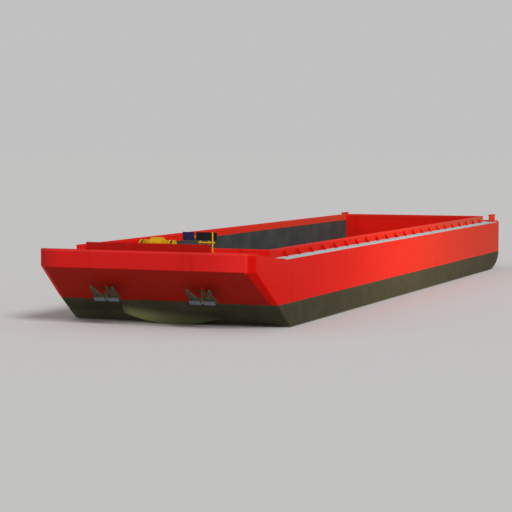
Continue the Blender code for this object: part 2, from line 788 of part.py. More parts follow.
def build_flukes(name, pin):
    """The anchor's crown with its two flukes and its pin, tilted forward about the pin."""
    turn = Matrix.Translation(pin) @ Matrix.Rotation(math.radians(FLUKE_TILT), 4, "X")
    section = [(-0.105, -0.075), (0.105, -0.075), (0.085, 0.095), (-0.085, 0.095)]
    crown = bmesh.new()
    add_prism(crown, [(-CROWN_HALF, y, z) for y, z in section], (2 * CROWN_HALF, 0, 0))
    bmesh.ops.transform(crown, matrix=turn, verts=crown.verts)
    head = finish(crown, name, ["anchor_iron"])
    slot = bmesh.new()
    add_box(slot, (-CROWN_SLOT, -0.30, -0.30), (CROWN_SLOT, 0.30, 0.30))
    bmesh.ops.transform(slot, matrix=turn, verts=slot.verts)
    combine(head, slot, "DIFFERENCE")
    blade = [
        # distance outward from the shank's middle, distance along the fluke
        (0.15, 0.05),
        (0.44, 0.05),
        (0.46, 0.18),
        (0.45, FLUKE_LENGTH),
        (0.37, FLUKE_LENGTH),
        (0.17, 0.18),
    ]
    flukes = bmesh.new()
    for side in (1, -1):
        outline = [(side * outward, -FLUKE_THICK / 2, along) for outward, along in blade]
        add_prism(flukes, outline, (0, FLUKE_THICK, 0))
    bmesh.ops.transform(flukes, matrix=turn, verts=flukes.verts)
    combine(head, flukes, "UNION")
    spindle = bmesh.new()
    add_shaft(spindle, pin, PIN_RADIUS, 0.2, 24)
    combine(head, spindle, "UNION")
    head.data.transform(Matrix.Translation(-pin))
    head.location = pin
    return head


def build_stand():
    """A yellow post before the boards, two behind them, a cross bar and an arm for the smaller board."""
    back = STAND_STATION + POST_RADIUS + BOARD_THICK + 2 * GAP
    foot = deck_height(back + 2 * POST_RADIUS) + 0.004

    def post(x, station, top):
        mesh_data = bmesh.new()
        profile = [(0, foot), (POST_RADIUS, foot), (POST_RADIUS, top), (0, top)]
        add_lathe(mesh_data, profile, Matrix.Translation(at(x, station, 0)), 20)
        seat(mesh_data.verts, FOOT_LIMIT)
        return mesh_data

    made = finish(post(POST_FRONT, STAND_STATION, POST_FRONT_TOP), "board_stand", ["yellow"])
    bar = bmesh.new()
    add_box(
        bar,
        at(STAND_BAR_ENDS[0], STAND_STATION, STAND_BAR - STAND_BAR_HALF),
        at(STAND_BAR_ENDS[1], back + POST_RADIUS, STAND_BAR + STAND_BAR_HALF),
    )
    combine(made, bar, "UNION")
    for x in POSTS_BACK:
        combine(made, post(x, back + POST_RADIUS, POST_BACK_TOP), "UNION")
    arm = bmesh.new()
    add_box(arm, at(ARM_LEFT, back, ARM_LOW), at(POSTS_BACK[0], back + ARM_THICK, ARM_HIGH))
    combine(made, arm, "UNION")
    soften(made)
    return made


def build_board(name, ends):
    left, right = ends
    near = STAND_STATION + POST_RADIUS + GAP
    plate = bmesh.new()
    add_box(plate, at(left, near, BOARD_LOW), at(right, near + BOARD_THICK, BOARD_HIGH))
    return finish(plate, name, [name.split("_")[1] + "_board"])


def build_bollard(name, x):
    """Twin mooring posts with caps on one base plate, set fore and aft."""
    wide, long = BOLLARD_BASE_HALF
    base = bmesh.new()
    add_box(
        base,
        at(x - wide, BOLLARD_STATION - long, DEPTH + GAP),
        at(x + wide, BOLLARD_STATION + long, DEPTH + BOLLARD_BASE_THICK),
    )
    made = finish(base, name, ["hull_red"])
    posts = bmesh.new()
    for shift in (-BOLLARD_SPACING / 2, BOLLARD_SPACING / 2):
        centre = at(x, BOLLARD_STATION + shift, DEPTH)
        add_lathe(posts, BOLLARD_PROFILE, Matrix.Translation(centre), 28)
    combine(made, posts, "UNION")
    soften(made)
    return made


def build_stern_rail():
    """A low square bar along the stern's deck edge."""
    rail = bmesh.new()
    half = HALF - EDGE_ROUND
    end = LENGTH - EDGE_ROUND
    low = at(-half, end - STERN_RAIL_WIDTH, DEPTH + GAP)
    add_box(rail, low, at(half, end, DEPTH + STERN_RAIL_HEIGHT))
    return finish(rail, "stern_rail", ["hull_red"])


def build_ladder(name, x, station, facing):
    """A fixed ladder on a hold bulkhead: two stringers with rungs let into them."""
    low = HOLD_FLOOR + 0.05
    high = DEPTH - 0.05
    near, far = sorted((station + GAP * facing, station + LADDER_DEPTH * facing))

    def stile(side):
        mesh_data = bmesh.new()
        left = x + side * LADDER_HALF - LADDER_STILE / 2
        add_box(mesh_data, at(left, near, low), at(left + LADDER_STILE, far, high))
        return mesh_data

    made = finish(stile(-1), name, ["hold_steel"])
    combine(made, stile(1), "UNION")
    rungs = bmesh.new()
    first = low + 0.14
    last = high - 0.12
    for index in range(RUNGS):
        height = first + (last - first) * index / (RUNGS - 1)
        add_shaft(rungs, at(x, station + RUNG_OFFSET * facing, height), RUNG_RADIUS, 0.18, 12)
    return combine(made, rungs, "UNION")


def main():
    clear_scene()
    build_hull()
    build_fairing()
    build_side_coaming("coaming_port", 1)
    build_side_coaming("coaming_starboard", -1)
    build_end_coaming("coaming_fore", COAMING_FORE, -1)
    build_end_coaming("coaming_aft", COAMING_AFT, 1)
    build_breakwater()
    axle = at(0, WINDLASS_STATION, WINDLASS_AXIS)
    build_windlass_bed(axle)
    build_gearcase(axle)
    build_windlass_shaft(axle)
    for label, sign in (("port", 1), ("starboard", -1)):
        pin = at(sign * HAWSE_X, HAWSE_STATION, ANCHOR_PIN_Z)
        build_hawse(f"hawse_pipe_{label}", sign)
        build_chain(f"anchor_chain_{label}", sign)
        build_shank(f"anchor_shank_{label}", pin)
        build_flukes(f"anchor_flukes_{label}", pin)
        build_bollard(f"bollard_{label}", sign * BOLLARD_X)
    build_stand()
    build_board("board_black", BOARD_BLACK)
    build_board("board_navy", BOARD_NAVY)
    build_stern_rail()
    build_ladder("ladder_fore", -LADDER_X, HOLD_FORE, 1)
    build_ladder("ladder_aft", LADDER_X, HOLD_AFT, -1)


main()
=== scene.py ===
# %% [markdown]
# # Dressing a pushed river barge
#
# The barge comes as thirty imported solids: a hull in five blocks, coamings round an open hold, a windlass with
# two anchors, sign boards and stern fittings. This lesson gives them rounded edges, paint, rust, bolts and
# real chain. It works in metres, with X to port, Y from bow to stern and Z up from the flat bottom.

# %% Load the frame
import math

import bmesh
import bpy
from mathutils import Matrix, Vector


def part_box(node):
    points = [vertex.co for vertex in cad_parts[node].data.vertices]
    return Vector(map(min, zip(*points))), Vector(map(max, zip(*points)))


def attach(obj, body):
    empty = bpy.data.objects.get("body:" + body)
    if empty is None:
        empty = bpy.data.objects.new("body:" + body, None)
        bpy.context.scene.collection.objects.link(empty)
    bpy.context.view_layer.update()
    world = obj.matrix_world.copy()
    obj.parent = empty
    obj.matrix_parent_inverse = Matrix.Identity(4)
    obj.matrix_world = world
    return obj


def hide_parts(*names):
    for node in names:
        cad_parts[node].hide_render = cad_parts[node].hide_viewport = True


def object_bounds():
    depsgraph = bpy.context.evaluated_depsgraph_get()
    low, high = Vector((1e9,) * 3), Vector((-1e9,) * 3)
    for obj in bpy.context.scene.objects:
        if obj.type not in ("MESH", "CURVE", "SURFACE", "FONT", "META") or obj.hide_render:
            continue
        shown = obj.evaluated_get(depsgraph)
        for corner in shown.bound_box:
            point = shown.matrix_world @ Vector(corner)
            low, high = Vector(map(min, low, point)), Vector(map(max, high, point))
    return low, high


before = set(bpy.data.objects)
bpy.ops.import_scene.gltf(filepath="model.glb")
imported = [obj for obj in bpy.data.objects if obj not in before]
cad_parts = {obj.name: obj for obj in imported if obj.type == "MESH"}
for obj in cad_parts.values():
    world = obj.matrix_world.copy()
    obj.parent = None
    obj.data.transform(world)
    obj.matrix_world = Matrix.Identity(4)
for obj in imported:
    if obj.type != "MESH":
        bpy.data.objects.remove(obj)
cad_low, cad_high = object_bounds()
stage = bpy.context.scene
print("solids", len(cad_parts), "box", [round(value, 3) for value in (*cad_low, *cad_high)])


def added(name, data):
    """A new object in the scene."""
    made = bpy.data.objects.new(name, data)
    stage.collection.objects.link(made)
    return made


# %% [markdown]
# ## Places along the hull
#
# A shipwright measures from the bow, in stations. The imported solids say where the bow, the deck and the hold
# are, so the lesson reads those places from the frame. What no solid shows, such as the height of the paint
# line, is a named value that repeats the one in the part's source.

# %% Measure the hull
BOW = cad_low.y
STERN = cad_high.y
HALF_BEAM = cad_high.x
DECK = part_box("hull_side_port")[1].z
BOW_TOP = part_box("hull_bow")[1].z
HOLD_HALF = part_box("hull_side_port")[0].x
HOLD_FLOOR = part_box("hull_bottom")[1].z
HOLD_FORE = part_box("hull_bow")[1].y
HOLD_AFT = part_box("hull_stern")[0].y
COAMING_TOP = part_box("coaming_port")[1].z
DECK_BREAK = 2.18
PAINT_LINE = 0.845
RAKE_FOOT = 2.98


def station(y):
    """Metres aft of the headlog."""
    return y - BOW


print(f"deck {DECK:.3f}, hold floor {HOLD_FLOOR:.3f}, hold from {HOLD_FORE:.2f} to {HOLD_AFT:.2f}")

# %% [markdown]
# ## The camera
#
# The photograph looks along the barge from off its port bow, fifty metres away and three metres above the
# coaming. A camera fitted to the corners of the hull gives the place, two angles and a long lens. Blender's
# camera looks down -Z, so one that stands level is turned 90 degrees about X, less the angle it looks down.

# %% Place the camera
CAMERA_PLACE = (23.059, -62.968, 5.966)
CAMERA_YAW = 22.157
CAMERA_DOWN = 3.8275
CAMERA_LENS = 111.77
CAMERA_SENSOR = 36.0
CAMERA_REACH = 3000.0

camera_data = bpy.data.cameras.new("camera")
camera_data.sensor_width = CAMERA_SENSOR
camera_data.lens = CAMERA_LENS
camera_data.clip_end = CAMERA_REACH
camera = added("camera", camera_data)
camera.location = CAMERA_PLACE
camera.rotation_euler = (math.radians(90 - CAMERA_DOWN), 0, math.radians(CAMERA_YAW))
stage.camera = camera
print("camera", round(math.dist(CAMERA_PLACE, (0, BOW, 1)), 1), "m from the bow")

# %% [markdown]
# ## Writing shader maths as sums
#
# Paint on steel is many thin layers: a colour, a fade, runs, rust where it chipped. In the shader editor each
# layer takes a dozen nodes. Here a small class wraps a socket, so that `1 - mask` or `streak * 0.3` adds its
# Math node by itself. Every other node comes from one method, which sets its options first, then its sockets.


# %% A socket that takes part in sums
class Wire:
    """A number, colour or vector on its way through a material."""

    def __init__(self, finish, socket):
        self.finish = finish
        self.socket = socket

    def maths(self, operation, other=None, swapped=False):
        values = (other, self) if swapped else (self, other)
        sockets = {place: value for place, value in enumerate(values) if value is not None}
        return self.finish.node("ShaderNodeMath", {"operation": operation}, sockets)

    def __add__(self, other):
        return self.maths("ADD", other)

    def __sub__(self, other):
        return self.maths("SUBTRACT", other)

    def __rsub__(self, other):
        return self.maths("SUBTRACT", other, swapped=True)

    def __mul__(self, other):
        return self.maths("MULTIPLY", other)

    __radd__ = __add__


class Finish:
    """One material, written from the surface's object coordinates."""

    def __init__(self, name, roughness=0.5, metallic=0.0, specular=0.5):
        self.data = bpy.data.materials.new(name)
        self.data.use_nodes = True
        self.shader = self.data.node_tree.nodes["Principled BSDF"]
        values = {"Roughness": roughness, "Metallic": metallic, "Specular IOR Level": specular}
        for socket, value in values.items():
            self.shader.inputs[socket].default_value = value
        self.place = self.node("ShaderNodeTexCoord", output="Object")
        axes = self.node("ShaderNodeSeparateXYZ", sockets={0: self.place})
        self.x, self.y, self.z = (Wire(self, axes.socket.node.outputs[axis]) for axis in "XYZ")

    def node(self, kind, settings=None, sockets=None, output=0):
        """Adds any node: first its settings, then the values or links of its sockets."""
        made = self.data.node_tree.nodes.new(kind)
        for name, value in (settings or {}).items():
            setattr(made, name, value)
        for name, value in (sockets or {}).items():
            if isinstance(value, Wire):
                self.data.node_tree.links.new(value.socket, made.inputs[name])
            else:
                made.inputs[name].default_value = value
        return Wire(self, made.outputs[output])

    def feed(self, name, wire):
        """Links a wire to one socket of the shader."""
        self.data.node_tree.links.new(wire.socket, self.shader.inputs[name])


print("shader sums ready")

# %% [markdown]
# ## The patterns that paint is made of
#
# `noise` is a cloud that can be stretched, which makes fades when it is large, runs when it is tall and thin,
# and grain when it is tiny. `step` turns any value into a soft mask, `blend` lays one colour over another
# through a mask, `layered` does so for several, and `bump` makes relief from a height.


# %% Noise, masks, layers and relief
def noise(finish, scale, detail, roughness=0.55, stretch=(1, 1, 1)):
    stretched = finish.node("ShaderNodeMapping", sockets={"Vector": finish.place, "Scale": stretch})
    sockets = {"Vector": stretched, "Scale": scale, "Detail": detail, "Roughness": roughness}
    return finish.node("ShaderNodeTexNoise", sockets=sockets)


def step(wire, low, high):
    """0 under low, 1 over high and smooth between them. With high under low it falls instead."""
    sockets = {"Value": wire, "From Min": low, "From Max": high}
    if high < low:
        sockets = {"Value": wire, "From Min": high, "From Max": low, "To Min": 1.0, "To Max": 0.0}
    return wire.finish.node("ShaderNodeMapRange", {"interpolation_type": "SMOOTHSTEP"}, sockets)


def blend(finish, below, above, mask):
    """Lays the colour above over the colour below, through a mask."""
    settings = {"data_type": "RGBA", "blend_type": "MIX"}
    sockets = {0: mask, 6: colour(below), 7: colour(above)}
    return finish.node("ShaderNodeMix", settings, sockets, output=2)


def layered(finish, tone, *layers):
    """Lays one colour after another over a first one, each through its own mask."""
    for above, mask in layers:
        tone = blend(finish, tone, above, mask)
    return tone


def colour(value):
    return value if isinstance(value, Wire) else (*value, 1.0)


def scaled(tone, share):
    return [share * part for part in tone]


def bump(finish, height, distance, strength=1.0, below=None):
    """Relief from a height, which may lie on top of another relief."""
    sockets = {"Height": height, "Distance": distance, "Strength": strength}
    if below:
        sockets["Normal"] = below
    return finish.node("ShaderNodeBump", sockets=sockets)


print("patterns ready")

# %% [markdown]
# ## Hull paint
#
# A steel barge wears two coats: topside red above the paint line and a dull bottom paint below it. One
# material holds both, because the line between them is a height, and the mask is the object's Z. Clouds fade
# the red, runs stain it and lock walls scuff a band along the side. Some tones are painted light: the red
# turns paler towards the stern as a painted reflection, a painted highlight runs along the coaming's top,
# the rake's darker red is painted shade, and the headlog has painted light at its port end and painted
# shade at its starboard end. The bottom paint is paler at its foot, painted light against the floor's
# shade, with a painted rim highlight along the keel's edge. The side deck's grey laps over the edge. The
# relief holds a bead at each plate's seam and the shallow hollows that frames leave.

# %% The two coats of the hull
PLATE_LENGTH = 6.0
FRAME_SPACING = 0.633
SEAM_HEIGHT = 1.52
WELD_FOOT, WELD_CREST = 0.014, 0.004
RUB_LOW, RUB_HIGH = 1.95, 2.30
TOPSIDE_RED = (0.66, 0.007, 0.003)
FADED_RED = (0.69, 0.014, 0.008)
# Towards the stern the red turns paler and more orange: a painted reflection, on the coaming too.
STERN_REFLECTION_RED = (0.66, 0.044, 0.019)
COAMING_REFLECTION_RED = (0.62, 0.100, 0.060)
COAMING_REFLECTION_FROM = 3.0
# Painted light across the headlog: a middle tone, a lit tone at its port end and a shaded one at starboard.
HEADLOG_MIDDLE_RED = (0.64, 0.0165, 0.0145)
HEADLOG_LIT_RED = (0.84, 0.024, 0.022)
SHADED_RED = (0.46, 0.018, 0.018)
TOP_EDGE_HIGHLIGHT = (0.95, 0.10, 0.09)
BOTTOM_OLIVE = (0.056, 0.053, 0.033)
SILT_AND_FOOT_LIGHT = (0.088, 0.082, 0.054)
RUST = (0.115, 0.036, 0.014)
DECK_GREY = (0.54, 0.73, 0.76)
EDGE_GREY = (0.38, 0.53, 0.56)
GREY_FROM = 2.50
GREY_TO = 0.45
GREY_EDGE = 0.030


def plate_relief(coat):
    """Weld beads between the plates and the shallow hollows between frames."""
    butt = step(coat.y.maths("PINGPONG", PLATE_LENGTH / 2), WELD_FOOT, WELD_CREST)
    seam = step((coat.z - SEAM_HEIGHT).maths("ABSOLUTE"), WELD_FOOT, WELD_CREST)
    bead = butt.maths("MAXIMUM", seam)
    hollow = (coat.y * (2 * math.pi / FRAME_SPACING)).maths("SINE")
    return bump(coat, bead, 0.003, below=bump(coat, hollow, 0.0009))


def on_grey_deck(coat):
    """1 between the stations where the side decks are grey."""
    fore, aft = BOW + GREY_FROM, STERN - GREY_TO
    return step(coat.y, fore - 0.004, fore + 0.004) * step(coat.y, aft + 0.004, aft - 0.004)


def hull_coat(name, red, faded, stern_reflection=None, headlog_light=False, coaming_reflection=False, foot=SILT_AND_FOOT_LIGHT):
    """Both coats. The reds are the topside's, and foot is the paler tone near the keel, which is painted light
    against the floor's shade.
    """
    coat = Finish(name, specular=0.015)
    clouds = noise(coat, 0.28, detail=2)
    runs = noise(coat, 1.0, detail=4, stretch=(2.6, 2.6, 0.16))
    rubs = noise(coat, 1.0, detail=4, stretch=(0.5, 0.5, 22))
    band = step(coat.z, RUB_LOW - 0.08, RUB_LOW + 0.05) * step(coat.z, RUB_HIGH + 0.06, RUB_HIGH - 0.06)
    scuffed = step(rubs, 0.58, 0.74) * band
    sternward = step(coat.y, BOW, STERN)
    upper = blend(coat, red, faded, step(clouds, 0.42, 0.72) * 0.45)
    # Painted reflection: the red turns paler and more orange towards the stern.
    if stern_reflection:
        upper = blend(coat, upper, stern_reflection, sternward)
    if coaming_reflection:
        upper = blend(coat, upper, COAMING_REFLECTION_RED, step(coat.y, COAMING_REFLECTION_FROM, STERN))
    if headlog_light:
        # Painted light on the headlog: fresh is the lit port end, shaded is the painted shade at the starboard
        # end.
        fresh, shaded = step(coat.x, 1.2, 3.7), step(coat.x, -3.0, -3.7)
        headlog = layered(coat, HEADLOG_MIDDLE_RED, (HEADLOG_LIT_RED, fresh * fresh), (SHADED_RED, shaded))
        upper = blend(coat, upper, headlog, step(coat.y, BOW + 0.06, BOW + 0.02))
    lap = step(coat.z, DECK - GREY_EDGE - 0.003, DECK - GREY_EDGE) * step(coat.z, DECK + 0.006, DECK + 0.002)
    outboard = step(coat.x.maths("ABSOLUTE"), HALF_BEAM - 0.06, HALF_BEAM - 0.05)
    # The first layer is a painted highlight along the topmost band of the red.
    upper = layered(
        coat, upper,
        (TOP_EDGE_HIGHLIGHT, step(coat.z, COAMING_TOP - 0.10, COAMING_TOP - 0.06) * 0.18),
        (scaled(red, 0.62), step(runs, 0.56, 0.80) * 0.35),
        (faded, scuffed * 0.55),
        (EDGE_GREY, lap * outboard * on_grey_deck(coat)),
    )
    tide = step(coat.z, PAINT_LINE - 0.16, PAINT_LINE) * step(runs, 0.35, 0.60)
    # Towards the keel the bottom paint turns paler, painted light against the floor's shade, and at the very     edge a painted rim highlight.
    lower = layered(
        coat, BOTTOM_OLIVE,
        (SILT_AND_FOOT_LIGHT, step(noise(coat, 1.6, detail=5), 0.40, 0.70) * 0.3 + sternward * 0.45),
        (foot, step(coat.z, 0.55, 0.05) * step(coat.x, 3.8, 0.5)),
        (scaled(foot, 2), step(coat.z, 0.05, 0.03)),
        (SILT_AND_FOOT_LIGHT, tide * 0.5),
    )
    edge = noise(coat, 6.0, detail=2) * 0.008
    is_lower = step(coat.z + edge, PAINT_LINE + 0.007, PAINT_LINE + 0.001)
    coat.feed("Base Color", blend(coat, upper, lower, is_lower))
    coat.feed("Roughness", 0.36 + scuffed * 0.2 + is_lower * 0.32 + clouds * 0.08)
    coat.feed("Normal", plate_relief(coat))
    return coat.data


topside_paint = hull_coat("topside_paint", TOPSIDE_RED, FADED_RED, STERN_REFLECTION_RED, headlog_light=True)
coaming_paint = hull_coat("coaming_paint", TOPSIDE_RED, FADED_RED, STERN_REFLECTION_RED, coaming_reflection=True)
# The brackets' darker red is painted shade.
bracket_painted_shade = hull_coat("bracket_painted_shade", (0.55, 0.010, 0.007), (0.57, 0.014, 0.009))
# Faces in and round the hold get brighter reds: painted light where the hold's shade would darken them.
inside_painted_light = hull_coat("inside_painted_light", (0.98, 0.007, 0.003), (0.98, 0.010, 0.005), (0.78, 0.070, 0.034))
end_wall_painted_light = hull_coat("end_wall_painted_light", (0.90, 0.013, 0.008), (0.92, 0.020, 0.012))
end_coaming_painted_light = hull_coat("end_coaming_painted_light", (0.78, 0.014, 0.007), (0.80, 0.020, 0.010))
# The rake's darker red is painted shade, and its pale foot is painted light against the floor's shade.
rake_painted_shade = hull_coat("rake_painted_shade", (0.35, 0.013, 0.006), (0.38, 0.020, 0.009), foot=(0.15, 0.155, 0.095))


FOREFOOT_HIGHLIGHT_GREEN = (0.430, 0.490, 0.200)
FOREFOOT_HIGHLIGHT_TAN = (0.440, 0.440, 0.250)


def forefoot_coat(name):
    """Bottom paint with a pale green painted highlight towards the foot, most of all to starboard of the
    middle.
    """
    coat = Finish(name, roughness=0.75, specular=0.05)
    mottle = noise(coat, 1.3, detail=5)
    # worn is the painted highlight, strongest on the foot's starboard side.
    worn = blend(coat, FOREFOOT_HIGHLIGHT_GREEN, FOREFOOT_HIGHLIGHT_TAN, step(mottle, 0.38, 0.66))
    fresh = blend(coat, BOTTOM_OLIVE, SILT_AND_FOOT_LIGHT, step(mottle, 0.40, 0.70) * 0.6)
    foot = step(coat.z + mottle * 0.1 + coat.x * 0.10, 0.62, 0.06)
    starboard_end = 0.4 + step(coat.x, -2.0, -1.5) * 0.6
    across = 0.50 + step(coat.x, 0.2, -1.5) * 0.50
    coat.feed("Base Color", blend(coat, fresh, worn, foot * starboard_end * across))
    coat.feed("Normal", bump(coat, mottle, 0.004, 0.4))
    return coat.data


forefoot_paint = forefoot_coat("forefoot_paint")
print("hull paint:", topside_paint.name, end_wall_painted_light.name, rake_painted_shade.name, forefoot_paint.name)

# %% [markdown]
# ## Deck, hold and fittings
#
# The side decks carry pale grey paint with grit in it, which stops short of both ends. The hold has none:
# grabs and shovels keep its steel bare, dark and scratched, with rust where water stands. The fittings are
# painted over the old coat, which chips.

# %% Deck grit and bare hold steel
WORN_GREY = (0.60, 0.77, 0.79)
DARK_STEEL = (0.059, 0.066, 0.064)
DUSTY_STEEL = (0.088, 0.095, 0.091)
SCRAPED_STEEL = (0.16, 0.15, 0.14)


def deck_coat(name):
    coat = Finish(name, specular=0.15)
    clouds = noise(coat, 0.7, detail=3)
    grit = noise(coat, 95.0, detail=2)
    worn = (WORN_GREY, step(clouds, 0.42, 0.75) * 0.5)
    grey = layered(coat, DECK_GREY, worn, (scaled(DECK_GREY, 0.5), step(grit, 0.52, 0.66) * 0.25))
    coat.feed("Base Color", blend(coat, TOPSIDE_RED, grey, on_grey_deck(coat)))
    coat.feed("Roughness", 0.62 + clouds * 0.15)
    coat.feed("Normal", bump(coat, grit, 0.0015, 0.5))
    return coat.data


def hold_coat(name):
    coat = Finish(name, specular=0.15)
    clouds = noise(coat, 0.8, detail=5)
    scrapes = step(noise(coat, 1.0, detail=6, stretch=(2.0, 2.0, 14)), 0.60, 0.78)
    dusty, rusty = (DUSTY_STEEL, step(clouds, 0.35, 0.70)), (RUST, step(clouds, 0.60, 0.80) * 0.35)
    coat.feed("Base Color", layered(coat, DARK_STEEL, dusty, rusty, (SCRAPED_STEEL, scrapes * 0.4)))
    coat.feed("Roughness", 0.70 - scrapes * 0.2)
    coat.feed("Normal", plate_relief(coat))
    return coat.data


side_deck_paint = deck_coat("side_deck_paint")
hold_steel = hold_coat("hold_steel")
print("deck and hold:", side_deck_paint.name, hold_steel.name)


# %% Paint over old paint, for the fittings
def fitting_coat(name, paint, worn, chips, roughness=0.45):
    """Fresh paint over a worn coat, with chips down to the primer and fine brush marks."""
    coat = Finish(name, specular=0.08)
    clouds = noise(coat, 2.2, detail=3)
    flecks = noise(coat, 34.0, detail=5, roughness=0.7)
    chipped = step(flecks, chips, chips + 0.05)
    wear = (worn, step(clouds, 0.40, 0.72) * 0.55)
    coat.feed("Base Color", layered(coat, paint, wear, (RUST, chipped * 0.8)))
    coat.feed("Roughness", roughness + clouds * 0.1 + chipped * 0.25)
    coat.feed("Normal", bump(coat, flecks * 0.3 - chipped, 0.0006, 0.6))
    return coat.data


def iron_coat(name, iron, dusty, metallic):
    """Cast or forged iron: pitted, dark, with dust in the pits."""
    coat = Finish(name, metallic=metallic, specular=0.2)
    clouds = noise(coat, 5.0, detail=4)
    pits = noise(coat, 60.0, detail=4, roughness=0.65)
    dust = (dusty, step(clouds, 0.38, 0.70) * 0.7)
    coat.feed("Base Color", layered(coat, iron, dust, (RUST, step(pits, 0.60, 0.72) * 0.35)))
    coat.feed("Roughness", 0.55 + clouds * 0.2)
    coat.feed("Normal", bump(coat, pits, 0.001, 0.4))
    return coat.data


deep_red_paint = fitting_coat("deep_red_paint", (0.40, 0.006, 0.003), (0.44, 0.012, 0.006), 0.70)
yellow_paint = fitting_coat("yellow_paint", (0.68, 0.37, 0.008), (0.72, 0.42, 0.016), 0.66)
black_board_paint = fitting_coat("black_board_paint", (0.012, 0.012, 0.013), (0.022, 0.022, 0.024), 0.72, 0.4)
navy_board_paint = fitting_coat("navy_board_paint", (0.016, 0.014, 0.060), (0.024, 0.022, 0.080), 0.72, 0.4)
anchor_iron = iron_coat("anchor_iron", (0.062, 0.062, 0.034), (0.090, 0.088, 0.052), 0.1)
# The shank's iron is lighter than the flukes', painted light where the rake's overhang shades it.
shank_iron_painted_light = iron_coat("shank_iron_painted_light", (0.20, 0.165, 0.085), (0.26, 0.21, 0.12), 0.1)
# A light blue-grey for the crown's front lower face: a painted reflection of the sky.
crown_face_painted_reflection = iron_coat("crown_face_painted_reflection", (0.13, 0.16, 0.20), (0.17, 0.20, 0.24), 0.1)
chain_steel = iron_coat("chain_steel", (0.030, 0.034, 0.042), (0.060, 0.064, 0.070), 0.7)
print("fitting paints:", len(bpy.data.materials), "materials in all")

# %% [markdown]
# ## The studio
#
# The floor is pale and plain and reaches past the horizon. A broad sun from off the port bow makes the corner
# chamfer the brightest of the bow's faces, and a weak one from off the starboard bow lifts what it leaves
# dark. A long soft box abeam makes the middle of the side glow. Its light skips the floor, which would burn
# out so close to it. What the camera sees of the sky has the floor's tone, so no edge shows, and what lights
# the barge is dimmer.

# %% Floor and sky
FLOOR_TONE = (0.76, 0.755, 0.75)
FLOOR_SIZE = 2400.0
SKY_LIGHT = 0.28
SKY_SEEN = 0.537

floor_shape = bmesh.new()
bmesh.ops.create_grid(floor_shape, x_segments=1, y_segments=1, size=FLOOR_SIZE / 2)
floor_mesh = bpy.data.meshes.new("floor")
floor_shape.to_mesh(floor_mesh)
floor_shape.free()
floor = added("floor", floor_mesh)
floor_finish = Finish("floor_paint", roughness=0.9, specular=0.0)
floor_finish.shader.inputs["Base Color"].default_value = (*FLOOR_TONE, 1)
floor_mesh.materials.append(floor_finish.data)

world = bpy.data.worlds.new("sky")
world.use_nodes = True
sky = world.node_tree.nodes["Background"]
sky.inputs["Color"].default_value = (1, 0.995, 0.99, 1)
rays = world.node_tree.nodes.new("ShaderNodeLightPath")
tone = world.node_tree.nodes.new("ShaderNodeMapRange")
tone.inputs["To Min"].default_value = SKY_LIGHT
tone.inputs["To Max"].default_value = SKY_SEEN
world.node_tree.links.new(rays.outputs["Is Camera Ray"], tone.inputs["Value"])
world.node_tree.links.new(tone.outputs["Result"], sky.inputs["Strength"])
stage.world = world
stage.view_settings.view_transform = "Standard"
print("sky lights with", SKY_LIGHT, "and shows", SKY_SEEN)

# %% Suns and soft box
KEY_TOWARDS, KEY_STRENGTH, KEY_WIDTH = (0.46, -0.44, 0.46), 2.05, 20
FILL_TOWARDS, FILL_STRENGTH, FILL_WIDTH = (-0.75, -0.45, 0.45), 0.35, 50
SOFT_BOX_TOWARDS, SOFT_BOX_WATTS = (1, 0, 0.08), 770.0
SOFT_BOX_PLACE = (14.5, -0.2, 2.6)
SOFT_BOX_TONE = (1.0, 0.80, 0.58)
SOFT_BOX_LONG, SOFT_BOX_HIGH = 7.0, 2.4


def lamp(name, kind, energy, towards):
    light = bpy.data.lights.new(name, kind)
    light.energy = energy
    made = added(name, light)
    made.rotation_euler = Vector(towards).to_track_quat("Z", "Y").to_euler()
    return made


key = lamp("key", "SUN", KEY_STRENGTH, KEY_TOWARDS)
key.data.angle = math.radians(KEY_WIDTH)
fill = lamp("fill", "SUN", FILL_STRENGTH, FILL_TOWARDS)
fill.data.angle = math.radians(FILL_WIDTH)
soft_box = lamp("soft_box", "AREA", SOFT_BOX_WATTS, SOFT_BOX_TOWARDS)
soft_box.location = SOFT_BOX_PLACE
soft_box.data.color = SOFT_BOX_TONE
soft_box.data.shape = "RECTANGLE"
soft_box.data.size = SOFT_BOX_LONG
soft_box.data.size_y = SOFT_BOX_HIGH
soft_box.visible_camera = False
unlit = bpy.data.collections.new("unlit_by_soft_box")
unlit.objects.link(floor)
soft_box.light_linking.receiver_collection = unlit
unlit.collection_objects[0].light_linking.link_state = "EXCLUDE"
print("lights:", key.name, fill.name, soft_box.name)

# %% [markdown]
# ## Shapes that the fittings share
#
# Deck gear is cut from plate, bar and round stock. A block is `create_cube`, a plate is one outline pushed
# through its thickness, and a turned part is a profile that `spin` carries round. Each is a small bmesh of
# its own, so it can be rounded and placed before it joins the others. No real steel edge is a knife, so
# `rounded` bevels every edge that turns by more than an angle.


# %% Blocks, plates and turned parts
def block(low, high):
    """A rectangular block between two corners."""
    part = bmesh.new()
    low, high = Vector(low), Vector(high)
    place = Matrix.Translation((low + high) / 2) @ Matrix.Diagonal((*(high - low), 1))
    bmesh.ops.create_cube(part, size=1.0, matrix=place)
    return part


def pushed(part, faces, shift, spread=(1, 1, 1)):
    """Extrudes faces by a shift, after scaling the new ones about the part's Z axis, and returns them."""
    grown = bmesh.ops.extrude_face_region(part, geom=faces)["geom"]
    verts = [item for item in grown if isinstance(item, bmesh.types.BMVert)]
    bmesh.ops.scale(part, verts=verts, vec=spread)
    bmesh.ops.translate(part, verts=verts, vec=shift)
    return [item for item in grown if isinstance(item, bmesh.types.BMFace)]


def closed(part):
    """Fills what an extrusion left open and turns the faces outwards."""
    bmesh.ops.holes_fill(part, edges=part.edges)
    bmesh.ops.recalc_face_normals(part, faces=part.faces)
    return part


